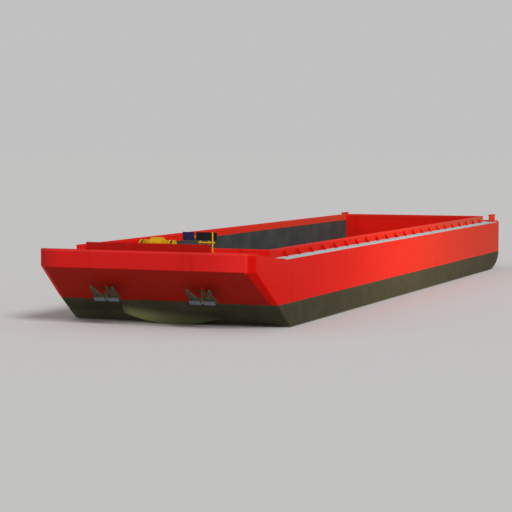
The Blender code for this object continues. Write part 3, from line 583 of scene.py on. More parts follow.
def plate(outline, through):
    """A flat outline pushed along a vector into a solid."""
    part = bmesh.new()
    base = part.faces.new([part.verts.new(corner) for corner in outline])
    pushed(part, [base], through)
    return closed(part)


def crosswise(outline, near, far):
    """An outline of (y, z) pairs pushed along X from near to far."""
    return plate([(near, y, z) for y, z in outline], (far - near, 0, 0))


def lengthwise(outline, near, far):
    """An outline of (x, z) pairs pushed along Y from near to far."""
    return plate([(x, near, z) for x, z in outline], (0, far - near, 0))


def turned(profile, segments):
    """A profile of (radius, height) pairs spun about Z, with its poles closed."""
    part = bmesh.new()
    line = [part.verts.new((radius, 0, height)) for radius, height in profile]
    edges = [part.edges.new(pair) for pair in zip(line, line[1:])]
    spin_round(part, line + edges, segments)
    bmesh.ops.remove_doubles(part, verts=part.verts, dist=0.000001)
    bmesh.ops.recalc_face_normals(part, faces=part.faces)
    return part


def spin_round(part, section, segments):
    """Carries a section round the Z axis and closes the ring."""
    bmesh.ops.spin(
        part, geom=section, cent=(0, 0, 0), axis=(0, 0, 1), angle=2 * math.pi, steps=segments, use_merge=True
    )


def disc(radius, low, high, segments):
    """A closed round bar along Z between two heights."""
    return turned([(0, low), (radius, low), (radius, high), (0, high)], segments)


print("blocks, plates and turned parts ready")

# %% Round, place and join them
SHARP_TURN = math.radians(30)


def rounded(part, width, segments=2):
    """Bevels the edges that turn by more than an angle."""
    edges = [edge for edge in part.edges if edge.calc_face_angle(0) > SHARP_TURN]
    bmesh.ops.bevel(
        part, geom=edges, offset=width, segments=segments, profile=0.5, affect="EDGES", clamp_overlap=True,
        material=-1,
    )
    return part


def placed(part, matrix):
    bmesh.ops.transform(part, matrix=matrix, verts=part.verts)
    if matrix.determinant() < 0:
        bmesh.ops.reverse_faces(part, faces=part.faces)
    return part


def painted(part, choose):
    """Gives each face the number of its material, by a rule that reads the face."""
    part.normal_update()
    for face in part.faces:
        face.material_index = choose(face)
    return part


def joined(parts):
    """Several parts as one shape."""
    whole = bmesh.new()
    carrier = bpy.data.meshes.new("carrier")
    for part in parts:
        part.to_mesh(carrier)
        whole.from_mesh(carrier)
        part.free()
    bpy.data.meshes.remove(carrier)
    return whole


def facing(place, axis):
    """The matrix that stands a part made along Z on a place, along an axis."""
    return Matrix.Translation(place) @ Vector(axis).to_track_quat("Z", "Y").to_matrix().to_4x4()


def prism(sides, radius, length, middle):
    """A bar of some sides along Z, with its middle at a height."""
    part = bmesh.new()
    lift = Matrix.Translation((0, 0, middle))
    bmesh.ops.create_cone(
        part, cap_ends=True, segments=sides, radius1=radius, radius2=radius, depth=length, matrix=lift
    )
    return part


def bolt(place, axis, size):
    """A hexagon head on a washer. The size is the bolt's diameter."""
    washer = disc(1.1 * size, 0, 0.14 * size, 16)
    head = rounded(prism(6, 0.92 * size, 0.7 * size, 0.45 * size), 0.08 * size, 1)
    return placed(joined([washer, head]), facing(place, axis))


def bead(start, end, width):
    """A weld bead along a corner, as a thin rod half sunk into it."""
    start, end = Vector(start), Vector(end)
    length = (end - start).length
    return placed(prism(8, width, length, length / 2), facing(start, end - start))


print("rounding and joining ready")

# %% [markdown]
# ## Pieces
#
# One function hands every shape over. It smooths the round parts but keeps real edges sharp, hangs the
# piece on the body it rides on, gives it its materials and hides the solids it stands for. A bevel's shading
# would spread over a big flat plate, and a Weighted Normal modifier stops that: the large faces decide the
# normals.

# %% Hand a shape over as a piece
SMOOTH_TURN = math.radians(35)
FLAT_TURN = math.radians(0.5)
MERGE_DISTANCE = 0.0002


def piece(shape, name, materials, stands_for, body="hull"):
    mesh = bpy.data.meshes.new(name)
    shape.to_mesh(mesh)
    shape.free()
    for material in materials:
        mesh.materials.append(material)
    mesh.shade_smooth()
    mesh.set_sharp_from_angle(angle=SMOOTH_TURN)
    made = added(name, mesh)
    flat = made.modifiers.new("flat", "WEIGHTED_NORMAL")
    flat.keep_sharp = True
    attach(made, body)
    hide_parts(*stands_for)
    print(name, len(mesh.polygons), "faces")


def solid_copy(node):
    """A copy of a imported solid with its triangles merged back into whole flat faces."""
    shape = bmesh.new()
    shape.from_mesh(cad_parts[node].data)
    bmesh.ops.remove_doubles(shape, verts=shape.verts, dist=MERGE_DISTANCE)
    bmesh.ops.dissolve_limit(shape, angle_limit=FLAT_TURN, verts=shape.verts, edges=shape.edges)
    return shape


print("solids to dress:", len(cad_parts))

# %% [markdown]
# ## The hull blocks
#
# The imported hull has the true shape, so each block is a copy of its solid. A face says how it is painted by
# where it is and which way it looks: up and outside is deck, up and low is the hold's floor, forward and down
# is the rake. The strips at the rake's corners turn outboard, which tells them from it.

# %% Paint the hull's blocks
LOOKS_UP = 0.98
STANDS_UPRIGHT = 0.1
RAKE_TURN = 0.4
STRIP_TURN = 0.15


def hull_slot(face):
    """0 topsides, 1 rake, in painted shade, 2 side deck, 3 hold steel, 4 the hold's end walls, in painted
    light.
    """
    middle = face.calc_center_median()
    in_hold = abs(middle.x) < HOLD_HALF + 0.02 and HOLD_FORE - 0.01 < middle.y < HOLD_AFT + 0.01
    if face.normal.z > LOOKS_UP:
        if middle.z < DECK - 0.2:
            return 3
        return 2 if station(middle.y) > DECK_BREAK else 0
    if in_hold and abs(face.normal.z) < STANDS_UPRIGHT:
        return 4 if abs(face.normal.y) > 0.9 else 3
    rake = max(face.normal.y, face.normal.z) < -RAKE_TURN and abs(face.normal.x) < STRIP_TURN
    return 1 if rake else 0


HULL_BLOCKS = ("hull_bow", "hull_bottom", "hull_side_port", "hull_side_starboard", "hull_stern")
hull_paints = [topside_paint, rake_painted_shade, side_deck_paint, hold_steel, end_wall_painted_light]
for block_name in HULL_BLOCKS:
    hull_shape = painted(solid_copy(block_name), hull_slot)
    piece(hull_shape, block_name + "_plating", hull_paints, (block_name,))

# %% [markdown]
# ## The coamings
#
# A coaming is the low wall that keeps water out of the hold: a plate with a flat bar along its top edge, made
# as one outline pushed along the hold. On the sides a row of triangular brackets holds it against the cargo,
# each with a short square nose, because a plate can't be welded down to a point, and beads along its feet.
# The wall's inside is a brighter red than its outside, which is painted light, and the brackets are a
# deeper red, which is painted shade.

# %% Side coamings with their brackets
COAMING_PLATE = 0.030
RIM_THICK = 0.012
RIM_DEPTH = 0.055
BRACKET_FIRST = 3.55
BRACKET_STEP = 1.265
BRACKETS = 22
BRACKET_THICK = 0.016
BRACKET_HEAD = 0.010
BRACKET_TOP = 2.565
BRACKET_NOSE = 0.016
BEAD = 0.006


def coaming_outline(inner, outward, low, high):
    """The plate and its top bar, in pairs of a distance across and a height, from the plate's inner face."""
    outer = inner + COAMING_PLATE * outward
    edge = outer + RIM_THICK * outward
    under = high.z - RIM_DEPTH
    return [(inner, low.z), (outer, low.z), (outer, under), (edge, under), (edge, high.z), (inner, high.z)]


def side_coaming(name, sign):
    low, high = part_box(name)
    foot = low.z
    outer = HOLD_HALF + COAMING_PLATE
    reach = max(abs(low.x), abs(high.x))
    wall = lengthwise(coaming_outline(sign * HOLD_HALF, sign, low, high), low.y, high.y)
    # Faces that look into the hold take the brighter red, painted light.
    wall = rounded(painted(wall, lambda face: int(face.normal.x * sign < -0.9)), 0.004)
    parts = [wall, bead((sign * outer, low.y, foot), (sign * outer, high.y, foot), BEAD)]
    web = [
        (outer - 0.002, foot), (reach, foot), (reach, foot + BRACKET_NOSE),
        (outer + BRACKET_HEAD, BRACKET_TOP), (outer - 0.002, BRACKET_TOP),
    ]
    for index in range(BRACKETS):
        y = BOW + BRACKET_FIRST + BRACKET_STEP * index
        faces_at = (y - BRACKET_THICK / 2, y + BRACKET_THICK / 2)
        # Brackets take a darker red, painted shade.
        bracket = painted(lengthwise([(sign * x, z) for x, z in web], *faces_at), lambda face: 2)
        parts.append(rounded(bracket, 0.002, 1))
        for line in faces_at:
            corner = (sign * outer, line, foot)
            parts.append(bead(corner, (sign * (reach - 0.004), line, foot), BEAD * 0.8))
            parts.append(bead(corner, (sign * outer, line, BRACKET_TOP), BEAD * 0.8))
    piece(joined(parts), name + "_plate", [coaming_paint, inside_painted_light, bracket_painted_shade], (name,))


side_coaming("coaming_port", 1)
side_coaming("coaming_starboard", -1)


# %% End coamings
def end_coaming(name, outward):
    """The plate across one end of the hold. Outward is -1 at the bow end and 1 at the stern end."""
    low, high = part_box(name)
    inner = high.y if outward < 0 else low.y
    outer = inner + COAMING_PLATE * outward
    # End coamings take a brighter red, painted light.
    wall = rounded(crosswise(coaming_outline(inner, outward, low, high), low.x, high.x), 0.004)
    parts = [wall, bead((low.x, outer, low.z), (high.x, outer, low.z), BEAD)]
    piece(joined(parts), name + "_plate", [end_coaming_painted_light], (name,))


end_coaming("coaming_fore", -1)
end_coaming("coaming_aft", 1)

# %% [markdown]
# ## The breakwater
#
# A low deep red plate across the bow deck throws back the water that comes over the headlog. Small triangular
# stays hold it from behind.

# %% Breakwater plate and stays
CHAMFER_STATION = 0.23
BREAKWATER_THICK = 0.020
STAY_PLACES = (-2.0, -1.3, -0.65, 0.0, 0.65, 1.3, 2.0)
STAY_REACH = 0.16
STAY_THICK = 0.012
STAY_NOSE = 0.014
STAY_DROP = 0.03
SEAT = 0.0003


def deck_at(y):
    """The height of the bow deck, which falls from the headlog to the side deck."""
    share = (station(y) - CHAMFER_STATION) / (DECK_BREAK - CHAMFER_STATION)
    return BOW_TOP + (DECK - BOW_TOP) * min(1.0, max(0.0, share))


def breakwater_wall():
    low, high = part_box("breakwater")
    front = low.y
    back = front + BREAKWATER_THICK
    foot = deck_at(back) + SEAT
    profile = [(front, deck_at(front) + SEAT), (back, foot), (back, high.z), (front, high.z)]
    parts = [rounded(crosswise(profile, low.x, high.x), 0.006, 3)]
    for y, z in ((back, foot), (front, deck_at(front))):
        parts.append(bead((low.x, y, z), (high.x, y, z), BEAD))
    toe = back + STAY_REACH
    knuckle = BOW + CHAMFER_STATION
    web = [
        (back - 0.004, foot), (knuckle, BOW_TOP + SEAT), (toe, deck_at(toe) + SEAT),
        (toe, deck_at(toe) + STAY_NOSE), (back + 0.012, high.z - STAY_DROP),
        (back - 0.004, high.z - STAY_DROP),
    ]
    for x in STAY_PLACES:
        faces_at = (x - STAY_THICK / 2, x + STAY_THICK / 2)
        parts.append(rounded(crosswise(web, *faces_at), 0.002, 1))
        for line in faces_at:
            parts.append(bead((line, back, foot), (line, knuckle, foot), BEAD * 0.7))
    piece(joined(parts), "breakwater_plate", [deep_red_paint], ("breakwater",))


breakwater_wall()

# %% [markdown]
# ## The windlass
#
# The windlass hauls both anchors. A gear case sits between two side frames on a bed plate, and a cross shaft
# carries a chain wheel outside each frame. The bed, frames and case ride on the hull. The shaft and its
# wheels are one turning body, so they are one piece on that body, made as a profile spun about the shaft.

# %% Bed plate, side frames and their bearings
SHAFT_STATION = 1.20
SHAFT_HEIGHT = 2.77
SHAFT_RADIUS = 0.045
BED_HALF = 0.34
BED_THICK = 0.03
BED_BOLTS = (-0.30, 0.0, 0.30)
FRAME_X = 0.38
FRAME_THICK = 0.04
SHOULDER_HALF = 0.355
SHOULDER_TOP = 2.965
SHOULDER_FALL = 0.035
axle = Vector((0, BOW + SHAFT_STATION, SHAFT_HEIGHT))


def ring_of_bolts(centre, axis, radius, count, size, start=0.0):
    """Bolts on a circle round an axis along X or Z."""
    bolts = []
    for index in range(count):
        turn = start + 2 * math.pi * index / count
        across, up = radius * math.cos(turn), radius * math.sin(turn)
        spot = (0, across, up) if abs(axis[0]) else (across, up, 0)
        bolts.append(bolt(Vector(centre) + Vector(spot), axis, size))
    return bolts


def windlass_bed():
    low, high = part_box("windlass_bed")
    fore, aft = axle.y - BED_HALF, axle.y + BED_HALF
    top = deck_at(fore) + BED_THICK
    outline = [(fore, deck_at(fore) + SEAT), (aft, deck_at(aft) + SEAT), (aft, top), (fore, top)]
    parts = [rounded(crosswise(outline, low.x, high.x), 0.006)]
    for x in BED_BOLTS:
        parts += [bolt((x, y, top), (0, 0, 1), 0.022) for y in (fore + 0.05, aft - 0.035)]
    cheek = [
        (fore + 0.03, top - 0.004), (aft - 0.03, top - 0.004), (aft - 0.05, top + 0.05),
        (axle.y + 0.14, axle.z + 0.12), (axle.y + 0.07, SHOULDER_TOP - 0.02),
        (axle.y - 0.07, SHOULDER_TOP - 0.02), (axle.y - 0.14, axle.z + 0.12), (fore + 0.05, top + 0.05),
    ]
    bore = SHAFT_RADIUS + 0.002
    bearing = [
        (bore, 0), (0.115, 0), (0.115, 0.012), (0.105, 0.022), (0.07, 0.022), (0.07, 0.028), (bore, 0.028),
    ]
    for sign in (-1, 1):
        near = sign * FRAME_X - FRAME_THICK / 2
        parts.append(rounded(crosswise(cheek, near, near + FRAME_THICK), 0.007))
        face = Vector((sign * (FRAME_X + FRAME_THICK / 2 - 0.002), axle.y, axle.z))
        parts.append(placed(turned(bearing, 32), facing(face, (sign, 0, 0))))
    piece(joined(parts), "windlass_bed_frames", [yellow_paint], ("windlass_bed",))


windlass_bed()

# %% Gear case
CASE_LEFT, CASE_RIGHT = -0.22, 0.20
CASE_SHOULDER_FORE = -0.19
CASE_SHOULDER_LONG = 0.40
CASE_COLLAR = 0.014
COLLAR_WIDTH = 0.022
COVER_FRONT = -0.256
CASE_BOLTS = (-0.33, -0.25, 0.23, 0.33)


def gear_case():
    low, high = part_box("windlass_gearcase")
    outline = [
        (-0.24, low.z), (0.27, low.z), (0.27, axle.z + 0.06), (0.17, high.z - 0.06), (0.03, high.z),
        (-0.12, high.z - 0.03), (-0.24, axle.z + 0.12),
    ]
    crest = crosswise([(axle.y + aft, z) for aft, z in outline], CASE_LEFT, CASE_RIGHT)
    collar = []
    for aft, z in outline:
        grow = Vector((aft, z - axle.z)).normalized() * CASE_COLLAR
        collar.append((axle.y + aft + grow.x, min(max(z + grow.y, low.z), high.z)))
    near = (CASE_LEFT + CASE_RIGHT - COLLAR_WIDTH) / 2
    parts = [rounded(crest, 0.016, 3), rounded(crosswise(collar, near, near + COLLAR_WIDTH), 0.004, 1)]
    fore = axle.y + CASE_SHOULDER_FORE
    shoulder = [
        (-SHOULDER_HALF, low.z), (SHOULDER_HALF, low.z), (SHOULDER_HALF, SHOULDER_TOP - SHOULDER_FALL),
        (-SHOULDER_HALF, SHOULDER_TOP),
    ]
    parts.append(rounded(lengthwise(shoulder, fore, fore + CASE_SHOULDER_LONG), 0.012, 3))
    fall = SHOULDER_FALL / (2 * SHOULDER_HALF)
    for x in CASE_BOLTS:
        top = SHOULDER_TOP - fall * (x + SHOULDER_HALF) - 0.001
        parts += [bolt((x, axle.y + aft, top), (fall, 0, 1), 0.014) for aft in (-0.15, 0.17)]
    front = axle.y + COVER_FRONT
    cover = block((CASE_LEFT + 0.06, front, axle.z - 0.07), (CASE_RIGHT - 0.06, front + 0.02, axle.z + 0.07))
    parts.append(rounded(cover, 0.006))
    for x in (CASE_LEFT + 0.085, CASE_RIGHT - 0.085):
        parts += [bolt((x, front, axle.z + lift), (0, -1, 0), 0.011) for lift in (-0.045, 0.045)]
    piece(joined(parts), "windlass_case", [yellow_paint], ("windlass_gearcase",))


gear_case()

# %% Cross shaft and chain wheels
WHEEL_INNER = 0.45
WHEEL_WIDTH = 0.17
WHEEL_GROOVE = 0.125
WHEEL_RIM = 0.20


def windlass_shaft():
    rim, groove = WHEEL_RIM, WHEEL_GROOVE
    half = [
        # radius, distance out from the wheel's inner face
        (SHAFT_RADIUS, -0.02), (0.09, -0.02), (0.09, 0.004), (0.16, 0.008), (0.165, 0.0), (rim - 0.006, 0.0),
        (rim, 0.006), (rim, 0.020), (rim - 0.004, 0.026), (groove + 0.004, 0.053), (groove, 0.058),
        (groove, 0.112), (groove + 0.004, 0.117), (rim - 0.004, 0.144), (rim, 0.150), (rim, 0.164),
        (rim - 0.006, WHEEL_WIDTH), (0.165, WHEEL_WIDTH), (0.155, 0.158), (0.098, 0.155), (0.09, 0.162),
        (0.088, 0.190), (0.08, 0.198), (0.048, WHEEL_WIDTH + 0.03), (0.045, 0.192), (0, 0.192),
    ]
    half = [(radius, WHEEL_INNER + out) for radius, out in half]
    profile = [(radius, -out) for radius, out in reversed(half)] + half
    parts = [placed(turned(profile, 48), facing(axle, (1, 0, 0)))]
    for sign in (-1, 1):
        face = axle + Vector((sign * (WHEEL_INNER + 0.155), 0, 0))
        parts += ring_of_bolts(face, (sign, 0, 0), 0.126, 6, 0.015)
    shape = joined(parts)
    piece(shape, "windlass_wheels", [yellow_paint], ("windlass_shaft",), "windlass_shaft")


windlass_shaft()

# %% [markdown]
# ## Hawse pipes
#
# A hawse pipe is the lined hole that the chain goes down through, with a thick round lip so that the links
# don't saw through the deck. The pipe is upright but deck and rake both slope, so the flange on the one and
# the ring on the other are sheared onto them. The mouth below stays level and hides the shank's top.

# %% Hawse pipes with rolled lips
HAWSE_X = 1.77
HAWSE_STATION = 0.93
HAWSE_BORE = 0.125
HAWSE_WALL = 0.020
HAWSE_LIP = 0.05
HAWSE_FLANGE = 0.07
HAWSE_FLANGE_THICK = 0.022
RAKE_RING = 0.03
RAKE_RING_THICK = 0.012
HEADLOG_FOOT = 2.02
MOUTH_HEIGHT = 1.37
MOUTH_BELOW = 0.10
MOUTH_GAP = 0.004


def rake_at(y):
    """The height of the rake, which falls from the headlog's foot to the keel."""
    return HEADLOG_FOOT * (1 - station(y) / RAKE_FOOT)


def hawse_pipe(name, sign):
    centre = Vector((sign * HAWSE_X, BOW + HAWSE_STATION, 0))
    deck, rake = deck_at(centre.y), rake_at(centre.y)
    bore, outer = HAWSE_BORE, HAWSE_BORE + HAWSE_WALL
    flange, flange_top = outer + HAWSE_FLANGE, deck + HAWSE_FLANGE_THICK
    ring, ring_foot = outer + RAKE_RING, rake - RAKE_RING_THICK
    top = deck + HAWSE_LIP
    mouth = rake - MOUTH_BELOW
    profile = [
        (bore, rake + 0.03), (bore, mouth + 0.008), (bore + 0.006, mouth), (outer - 0.006, mouth),
        (outer, mouth + 0.008), (outer, ring_foot), (ring - 0.006, ring_foot), (ring, rake - 0.006),
        (ring, rake - SEAT), (outer, rake - SEAT), (outer, deck + SEAT), (flange, deck + SEAT),
        (flange, flange_top - 0.005), (flange - 0.005, flange_top), (outer + 0.012, flange_top),
        (outer + 0.004, flange_top + 0.006), (outer + 0.001, top - 0.010), (outer - 0.004, top - 0.003),
        (outer - 0.010, top), (bore + 0.005, top - 0.002), (bore, top - 0.010), (bore, rake + 0.03),
    ]
    parts = [placed(turned(profile, 40), Matrix.Translation(centre))]
    spot = centre + Vector((0, 0, flange_top - 0.001))
    parts += ring_of_bolts(spot, (0, 0, 1), outer + 0.042, 8, 0.016, 0.4)
    shape = joined(parts)
    for vert in shape.verts:
        y, z = vert.co.yz
        if z < mouth + 0.01:
            vert.co.z = min(MOUTH_HEIGHT + z - mouth, rake_at(y) - RAKE_RING_THICK - MOUTH_GAP)
        else:
            vert.co.z += rake_at(y) - rake if z < (deck + rake) / 2 else deck_at(y) - deck

    # The part under the rake takes the rake's painted shade.
    def on_rake(face):
        middle = face.calc_center_median()
        return int(middle.z < rake_at(middle.y) + 0.02)

    piece(painted(shape, on_rake), name + "_lining", [deep_red_paint, rake_painted_shade], (name,))


hawse_pipe("hawse_pipe_port", 1)
hawse_pipe("hawse_pipe_starboard", -1)

# %% [markdown]
# ## Anchor chain
#
# The chain leaves the wheel's groove, crosses the deck to the hawse pipe and hangs down it to the anchor.
# Each link is an oval: a ring spun from a circle, with its two halves drawn apart. Neighbouring links stand a
# quarter turn apart, and the whole chain is rolled by an eighth, as slack chain lies on a deck.

# %% One link, and the route of the chain
LINK_BAR = 0.021
LINK_WIDTH = 0.072
LINK_LENGTH = 0.122
LINK_PITCH = LINK_LENGTH - 2 * LINK_BAR
CHAIN_RADIUS = 0.026
CHAIN_CLEARANCE = 0.007
CHAIN_END = 0.03
SHACKLE_SWELL = 1.25
SHACKLE_LIFT = 0.012
ANCHOR_PIN = 0.98
SHANK_TOP = 0.64


def chain_link():
    """One oval link, long along Z and wide along X."""
    part = bmesh.new()
    reach = (LINK_WIDTH - LINK_BAR) / 2
    place = Matrix.Translation((reach, 0, 0))
    bmesh.ops.create_circle(part, segments=8, radius=LINK_BAR / 2, matrix=place)
    bmesh.ops.rotate(part, verts=part.verts, cent=(reach, 0, 0), matrix=Matrix.Rotation(math.pi / 2, 3, "X"))
    section = part.verts[:] + part.edges[:]
    bmesh.ops.rotate(part, verts=part.verts, matrix=Matrix.Rotation(math.pi / 16, 3, "Z"))
    spin_round(part, section, 16)
    bmesh.ops.rotate(part, verts=part.verts, matrix=Matrix.Rotation(math.pi / 2, 3, "X"))
    apart = (LINK_LENGTH - LINK_WIDTH) / 2
    for end in (-1, 1):
        half = [vert for vert in part.verts if vert.co.z * end > 0]
        bmesh.ops.translate(part, verts=half, vec=(0, 0, end * apart))
    bmesh.ops.recalc_face_normals(part, faces=part.faces)
    return part


def chain_route(sign):
    """The middle line of the chain, from over the wheel to the top of the anchor's shank."""
    wheel = Vector((sign * (WHEEL_INNER + WHEEL_WIDTH / 2), axle.y, axle.z))
    reach = WHEEL_GROOVE + CHAIN_RADIUS + CHAIN_CLEARANCE
    route = []
    for degrees in (-25, -5, 15, 35):
        turn = math.radians(degrees)
        route.append(wheel + Vector((0, -reach * math.sin(turn), reach * math.cos(turn))))
    fore = BOW + HAWSE_STATION
    route.append(Vector((wheel.x, fore, wheel.z)))
    lip = deck_at(fore) + HAWSE_LIP
    over = HAWSE_BORE + HAWSE_WALL
    seated = lip + CHAIN_RADIUS
    steps = (
        # distance in from the middle of the hawse pipe, height
        (over + 0.08, seated), (over + 0.01, seated), (over - 0.03, seated), (over - 0.045, seated - 0.008),
        (0.085, seated - 0.03), (0.08, lip - 0.04), (0.02, lip - 0.25), (0, lip - 0.40),
        (0, ANCHOR_PIN + SHANK_TOP),
    )
    return route + [Vector((sign * (HAWSE_X - inward), fore, height)) for inward, height in steps]


def along(route, distance):
    """The place at a distance along a route."""
    for near, far in zip(route, route[1:]):
        length = (far - near).length
        if distance <= length:
            return near.lerp(far, distance / length)
        distance -= length
    return route[-1] + (route[-1] - route[-2]).normalized() * distance


print("one link every", round(LINK_PITCH, 3), "m")


# %% Lay the links along the route
def anchor_chain(name, sign):
    route = chain_route(sign)
    total = sum((far - near).length for near, far in zip(route, route[1:]))
    laid = total - CHAIN_END
    link = chain_link()
    parts = []
    for index in range(int(laid / LINK_PITCH)):
        near, far = (along(route, laid - LINK_PITCH * links) for links in (index + 1, index))
        roll = Matrix.Rotation(math.pi / 4 + math.pi / 2 * (index % 2), 4, "Z")
        parts.append(placed(link.copy(), facing((near + far) / 2, far - near) @ roll))
    link.free()
    shackle = chain_link()
    bmesh.ops.scale(shackle, verts=shackle.verts, vec=(SHACKLE_SWELL, SHACKLE_SWELL, 1.0))
    parts.append(placed(shackle, Matrix.Translation(route[-1] + Vector((0, 0, SHACKLE_LIFT)))))
    piece(joined(parts), name + "_links", [chain_steel], (name,))


anchor_chain("anchor_chain_port", 1)
anchor_chain("anchor_chain_starboard", -1)

# %% [markdown]
# ## The anchors
#
# These are stockless anchors: a straight shank, narrow in the crown's slot and broad above it, and a crown
# with two flukes that swings on a pin through the shank's eye. The crown is a casting, so its edges are
# rounder than those of plate, and each fluke has a rib up its back. Crown, flukes and pin are one body.

# %% Shank
SHANK_LEVELS = (
    # height over the pin, half width, half depth
    (-0.085, 0.038, 0.050),
    (0.155, 0.042, 0.055),
    (0.24, 0.064, 0.055),
    (0.46, 0.058, 0.045),
    (SHANK_TOP, 0.028, 0.034),
)


def anchor_shank(name, sign):
    pin = Vector((sign * HAWSE_X, BOW + HAWSE_STATION, ANCHOR_PIN))
    height, wide, deep = SHANK_LEVELS[0]
    bar = bmesh.new()
    place = Matrix.Translation((0, 0, height)) @ Matrix.Diagonal((wide, deep, 1, 1))
    bmesh.ops.create_grid(bar, x_segments=1, y_segments=1, size=1.0, matrix=place)
    end = bar.faces[:]
    for next_height, next_wide, next_deep in SHANK_LEVELS[1:]:
        end = pushed(bar, end, (0, 0, next_height - height), (next_wide / wide, next_deep / deep, 1))
        height, wide, deep = next_height, next_wide, next_deep
    shape = placed(rounded(closed(bar), 0.011, 3), Matrix.Translation(pin))
    piece(shape, name + "_bar", [shank_iron_painted_light], (name,))


anchor_shank("anchor_shank_port", 1)
anchor_shank("anchor_shank_starboard", -1)

# %% Crown, flukes and pin
FLUKE_TILT = 47.0
FLUKE_TOP = 0.60
FLUKE_THICK = 0.064
CROWN_HALF = 0.47
CROWN_SLOT = 0.048
PIN_RADIUS = 0.030
PIN_HALF = 0.20
CROWN_SECTION = ((-0.105, -0.075), (0.105, -0.075), (0.085, 0.095), (-0.085, 0.095))
FLUKE_OUTLINE = ((0.15, 0.05), (0.44, 0.05), (0.46, 0.18), (0.45, FLUKE_TOP), (0.37, FLUKE_TOP), (0.17, 0.18))
RIB_OUTLINE = ((0.375, 0.06), (0.405, 0.06), (0.420, FLUKE_TOP - 0.06), (0.405, FLUKE_TOP - 0.06))
RIB_FRONT = -FLUKE_THICK / 2 - 0.012
RIB_THICK = 0.030


def anchor_flukes(name, sign):
    pin = Vector((sign * HAWSE_X, BOW + HAWSE_STATION, ANCHOR_PIN))
    parts = []
    for side in (-1, 1):
        half = rounded(crosswise(CROWN_SECTION, side * CROWN_SLOT, side * CROWN_HALF), 0.018, 3)
        # The crown's face that looks forward and down takes the painted reflection of the sky.
        painted(half, lambda face: int(face.normal.y < -0.8))
        fluke = lengthwise([(side * x, z) for x, z in FLUKE_OUTLINE], -FLUKE_THICK / 2, FLUKE_THICK / 2)
        rib = lengthwise([(side * x, z) for x, z in RIB_OUTLINE], RIB_FRONT, RIB_FRONT + RIB_THICK)
        parts += [half, rounded(fluke, 0.018, 3), rounded(rib, 0.006)]
    parts.append(placed(disc(PIN_RADIUS, -PIN_HALF, PIN_HALF, 24), facing((0, 0, 0), (1, 0, 0))))
    turn = Matrix.Translation(pin) @ Matrix.Rotation(math.radians(FLUKE_TILT), 4, "X")
    shape = placed(joined(parts), turn)
    body = name.replace("anchor_", "")
    piece(shape, name + "_crown", [anchor_iron, crown_face_painted_reflection], (name,), body)


anchor_flukes("anchor_flukes_port", 1)
anchor_flukes("anchor_flukes_starboard", -1)

# %% [markdown]
# ## Boards and their stand
#
# Two sign boards stand behind the breakwater and stay blank here. Each is sheet metal with a raised edge,
# bolted to a yellow stand: tubes with domed caps that shed the rain, and a cross bar and arm of plain bar.

# %% Stand of posts, bar and arm
POST_RADIUS = 0.025
POST_FRONT = (2.41, 0.27, 3.31)
POSTS_BACK = (1.95, 2.26)
POST_BACK_TOP = 3.22
STAND_BAR = 2.965
STAND_BAR_HALF = 0.022
STAND_BAR_ENDS = (1.90, 2.47)
ARM_LEFT = 1.40
ARM_LOW, ARM_HIGH = 3.13, 3.17
ARM_THICK = 0.016
stand_front = BOW + POST_FRONT[1]
stand_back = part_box("board_black")[1].y + SEAT


def stand_post(x, y, top):
    foot = deck_at(y) + 0.004
    tall = top - foot
    tube = turned([
        (0, 0), (POST_RADIUS, 0), (POST_RADIUS, tall - 0.012), (POST_RADIUS * 0.85, tall - 0.004),
        (POST_RADIUS * 0.5, tall), (0, tall),
    ], 24)
    shoe = turned([(0, 0), (POST_RADIUS + 0.004, 0), (POST_RADIUS + 0.001, 0.008), (0, 0.008)], 24)
    return [placed(part, Matrix.Translation((x, y, foot))) for part in (tube, shoe)]


def board_stand():
    parts = stand_post(POST_FRONT[0], stand_front, POST_FRONT[2])
    for x in POSTS_BACK:
        parts += stand_post(x, stand_back + POST_RADIUS, POST_BACK_TOP)
    low = (STAND_BAR_ENDS[0], stand_front, STAND_BAR - STAND_BAR_HALF)
    high = (STAND_BAR_ENDS[1], stand_back + POST_RADIUS, STAND_BAR + STAND_BAR_HALF)
    parts.append(rounded(block(low, high), 0.005))
    arm = block((ARM_LEFT, stand_back, ARM_LOW), (POSTS_BACK[0], stand_back + ARM_THICK, ARM_HIGH))
    parts.append(rounded(arm, 0.004))
    piece(joined(parts), "board_stand_tubes", [yellow_paint], ("board_stand",))


board_stand()

# %% Boards with turned edges
BOARD_EDGE = 0.010
BOARD_SHEET = 0.004
BOARD_BACK = 0.003
BOARD_BOLT_INSET = 0.04


def board(node, material):
    """A sheet with a raised edge in front and four bolts, and nothing written on it."""
    low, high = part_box(node)
    face_at = low.y + BOARD_BACK
    sheet = block((low.x, face_at, low.z), high)
    front = [face for face in sheet.faces if face.normal.y < -0.9]
    bmesh.ops.inset_region(sheet, faces=front, thickness=BOARD_EDGE, depth=-BOARD_SHEET)
    parts = [rounded(sheet, 0.0015, 2)]
    for x in (low.x + BOARD_BOLT_INSET, high.x - BOARD_BOLT_INSET):
        for z in (low.z + BOARD_BOLT_INSET, high.z - BOARD_BOLT_INSET):
            parts.append(bolt((x, face_at + BOARD_SHEET, z), (0, -1, 0), 0.006))
    piece(joined(parts), node + "_sheet", [material], (node,))


board("board_black", black_board_paint)
board("board_navy", navy_board_paint)

# %% [markdown]
# ## Bollards, stern rail and ladders
#
# A bollard is a pair of posts that mooring lines are turned round, each with a thick round cap to keep the
# line on. The rail along the stern is a square bar, and the ladder at each end of the hold has round rungs
# let into its two stiles.

# %% Mooring bollards
BOLLARD_SPACING = 0.46
BOLLARD_BASE = 0.022
BOLLARD_CORNER = 0.05


